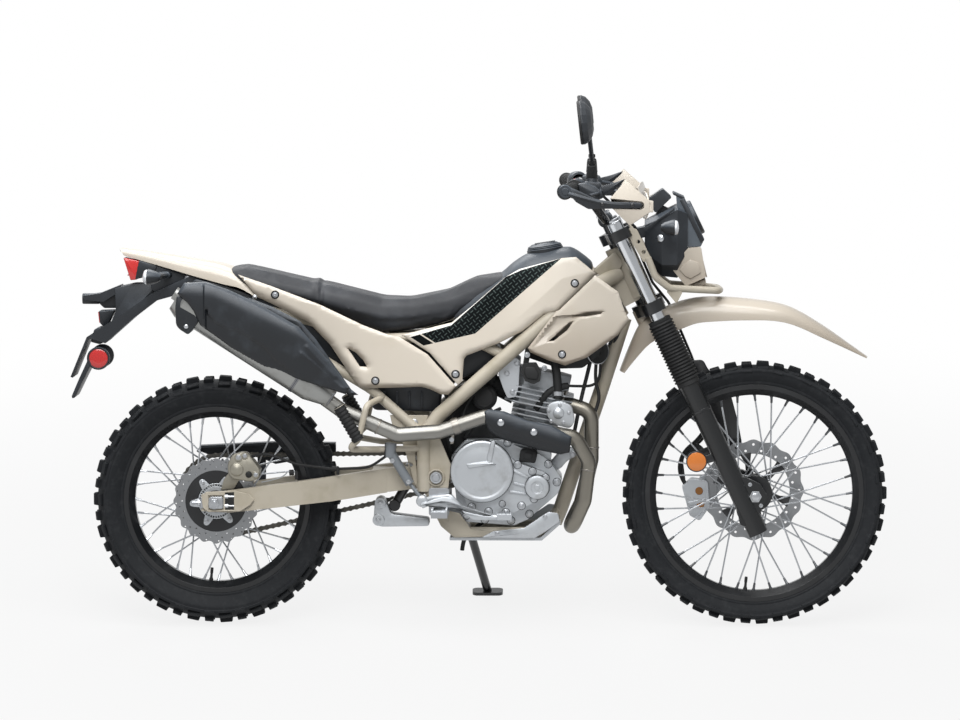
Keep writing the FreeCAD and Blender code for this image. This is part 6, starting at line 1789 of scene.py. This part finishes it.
# %% Tank cover and filler cap
rows = [(612, 842, 612, 775, 60), (680, 876, 680, 790, 78), (730, 906, 730, 800, 88), (762, 933, 765, 815, 92),
    (800, 956, 800, 830, 94), (850, 967, 850, 850, 95), (895, 972, 895, 862, 93), (915, 969, 915, 868, 88),
    (940, 953, 940, 876, 80), (960, 936, 956, 884, 70), (965, 925, 962, 890, 40)]
shell(smooth_stations(rows, 50), 24, squarish(2.7))
piece("tank_cover", "chassis", black_plastic, ["tank"], sharp=50)
line = [(0, 15), (24, 15.5), (33, 14), (36, 11.6), (40, 10.4), (43.5, 8.4), (42.6, 6.6), (45, 4.6), (44, 2.6),
    (46.5, 0.6), (46.5, -10)]
turned(line, (842, 0, 967), (-0.15, 0, 0.99), 56)
for i in range(-3, 4):
    slab([(816, 978.2), (868, 986.4), (868, 987.8), (816, 979.6)], i * 7 - 1.2, i * 7 + 1.2)
piece("filler_cap", "chassis", black_plastic, sharp=30)

# %% [markdown]
# The number plate hangs from a black carrier, with its lamp above the plate, a reflector box behind it and a red
# reflector on either side. The plate itself is left off.

# %% Plate carrier details
turned([(0, 0), (13, 0), (14, 3), (14, 41), (13, 44), (0, 44)], (-346, 0, 837), (1, 0, 0), 28)
slab([(-302, 851), (-211, 878), (-193, 879), (-216, 860), (-234, 843), (-258, 813), (-290, 813), (-302, 824)],
    -9, 9, 3.0, 3.0)
slab([(-302, 807), (-261, 809), (-284, 762), (-299, 775)], -30, 30, 3.0, 3.0)
slab([(-322, 697), (-331, 677), (-352, 632), (-370, 590), (-368.5, 584), (-362, 586), (-343, 625), (-323, 665),
    (-312, 690)], -56, 56, 1.5, 1.0)
slab([(-262, 866), (-211, 878), (-188, 878), (-160, 871), (-94, 869), (-140, 861), (-175, 845), (-206, 814),
    (-232, 783), (-250, 755), (-276, 730), (-286, 736), (-274, 770), (-258, 808)], -31, 31, 3.0, 2.5)
slab([(-313, 760), (-299, 766), (-284, 760), (-278, 731), (-299, 722), (-322, 728)], -40, 40, 3.0, 2.0)
for side in (-1, 1):
    turned([(0, 3), (24, 3), (25, 5), (28, 5), (29.5, 3), (29.5, -5), (24, -8), (0, -8)], (-301, side * 52, 687),
        (0, side, 0), 36)
    slab([(-306, 700), (-296, 700), (-292, 672), (-310, 672)], side * 30, side * 50)
piece("plate_lamp_and_mounts", "chassis", black_plastic)
for side in (-1, 1):
    turned([(0, 5.8), (12, 5.4), (22, 4.4), (24.5, 3.2)], (-301, side * 52, 687), (0, side, 0), 36)
slab([(-304, 804), (-301, 804), (-298, 778), (-301, 776)], -26, 26, edge=0.6)
piece("rear_reflectors", "chassis", red_lens)

# %% [markdown]
# The studio is a pale room: an even light from all sides, a large soft lamp above and in front, and a smaller
# one behind for the edges. What the camera and mirrors see of the room is white, but that white is given only
# to those rays, so it adds no light to the machine, and the floor keeps the shadow.

# %% Room and floor
class Bare(Finish):
    """The nodes of the world or of the floor's material, in an empty tree."""
    def __init__(self, owner):
        owner.use_nodes = True
        self.tree = owner.node_tree
        self.tree.nodes.clear()


def rays(finish, *kinds):
    """One for rays of the given kinds, and nought for all others."""
    found = [finish.node("ShaderNodeLightPath", output=kind) for kind in kinds]
    total = found[0]
    for wire in found[1:]:
        total = total.maths("MAXIMUM", wire)
    return total


world = bpy.data.worlds.new("pale_room")
bpy.context.scene.world = world
room = Bare(world)
direct = rays(room, "Is Camera Ray", "Is Transmission Ray")
mirrored = rays(room, "Is Glossy Ray") * 0.35
even = room.node("ShaderNodeBackground", inputs={"Color": (0.95, 0.97, 1, 1), "Strength": 0.27})
white = room.node("ShaderNodeBackground", inputs={"Color": (1, 1, 1, 1), "Strength": 1.0})
both = room.node("ShaderNodeMixShader", inputs=[direct.maths("MAXIMUM", mirrored), even, white])
room.node("ShaderNodeOutputWorld", inputs=[both], output=None)


def soft_lamp(name, at, aim, size, power):
    data = bpy.data.lights.new(name, "AREA")
    data.shape = "RECTANGLE"
    data.size, data.size_y = size
    data.energy = power
    facing = (Vector(aim) - Vector(at)).to_track_quat("-Z", "Y").to_matrix().to_4x4()
    linked(name, data).matrix_world = Matrix.Translation(at) @ facing
    print(name, power, "W at", at)


soft_lamp("front_lamp", (-0.5, -2.9, 4.0), (0, 0, 0.5), (3.0, 2.2), 138)
soft_lamp("top_lamp", (-0.2, -0.6, 4.6), (0, 0, 0.6), (4.0, 1.4), 140)
soft_lamp("back_lamp", (-1.0, 3.0, 3.2), (0, 0, 0.6), (2.4, 1.6), 70)

grid = bmesh.new()
bmesh.ops.create_grid(grid, x_segments=1, y_segments=1, size=40)
floor_mesh = bpy.data.meshes.new("studio_floor")
grid.to_mesh(floor_mesh)
grid.free()
floor = linked("studio_floor", floor_mesh)
floor_paper = bpy.data.materials.new("floor_paper")
paper = Bare(floor_paper)
lit = paper.node("ShaderNodeBsdfDiffuse", inputs={"Color": (0.42, 0.42, 0.42, 1)})
glow = paper.node("ShaderNodeEmission", inputs={"Color": (1, 1, 1, 1), "Strength": 1.0})
x, y, _ = paper.axes(paper.node("ShaderNodeTexCoord", output="Object"))
away = paper.fade((x * x + y * y).maths("SQRT"), 1.1, 3.2)
seen = rays(paper, "Is Camera Ray", "Is Glossy Ray", "Is Transmission Ray")
lifted = paper.node("ShaderNodeMixShader", inputs=[seen * (away * 0.15 + 0.85), lit, glow])
paper.node("ShaderNodeOutputMaterial", inputs=[lifted], output=None)
floor_mesh.materials.append(floor_paper)
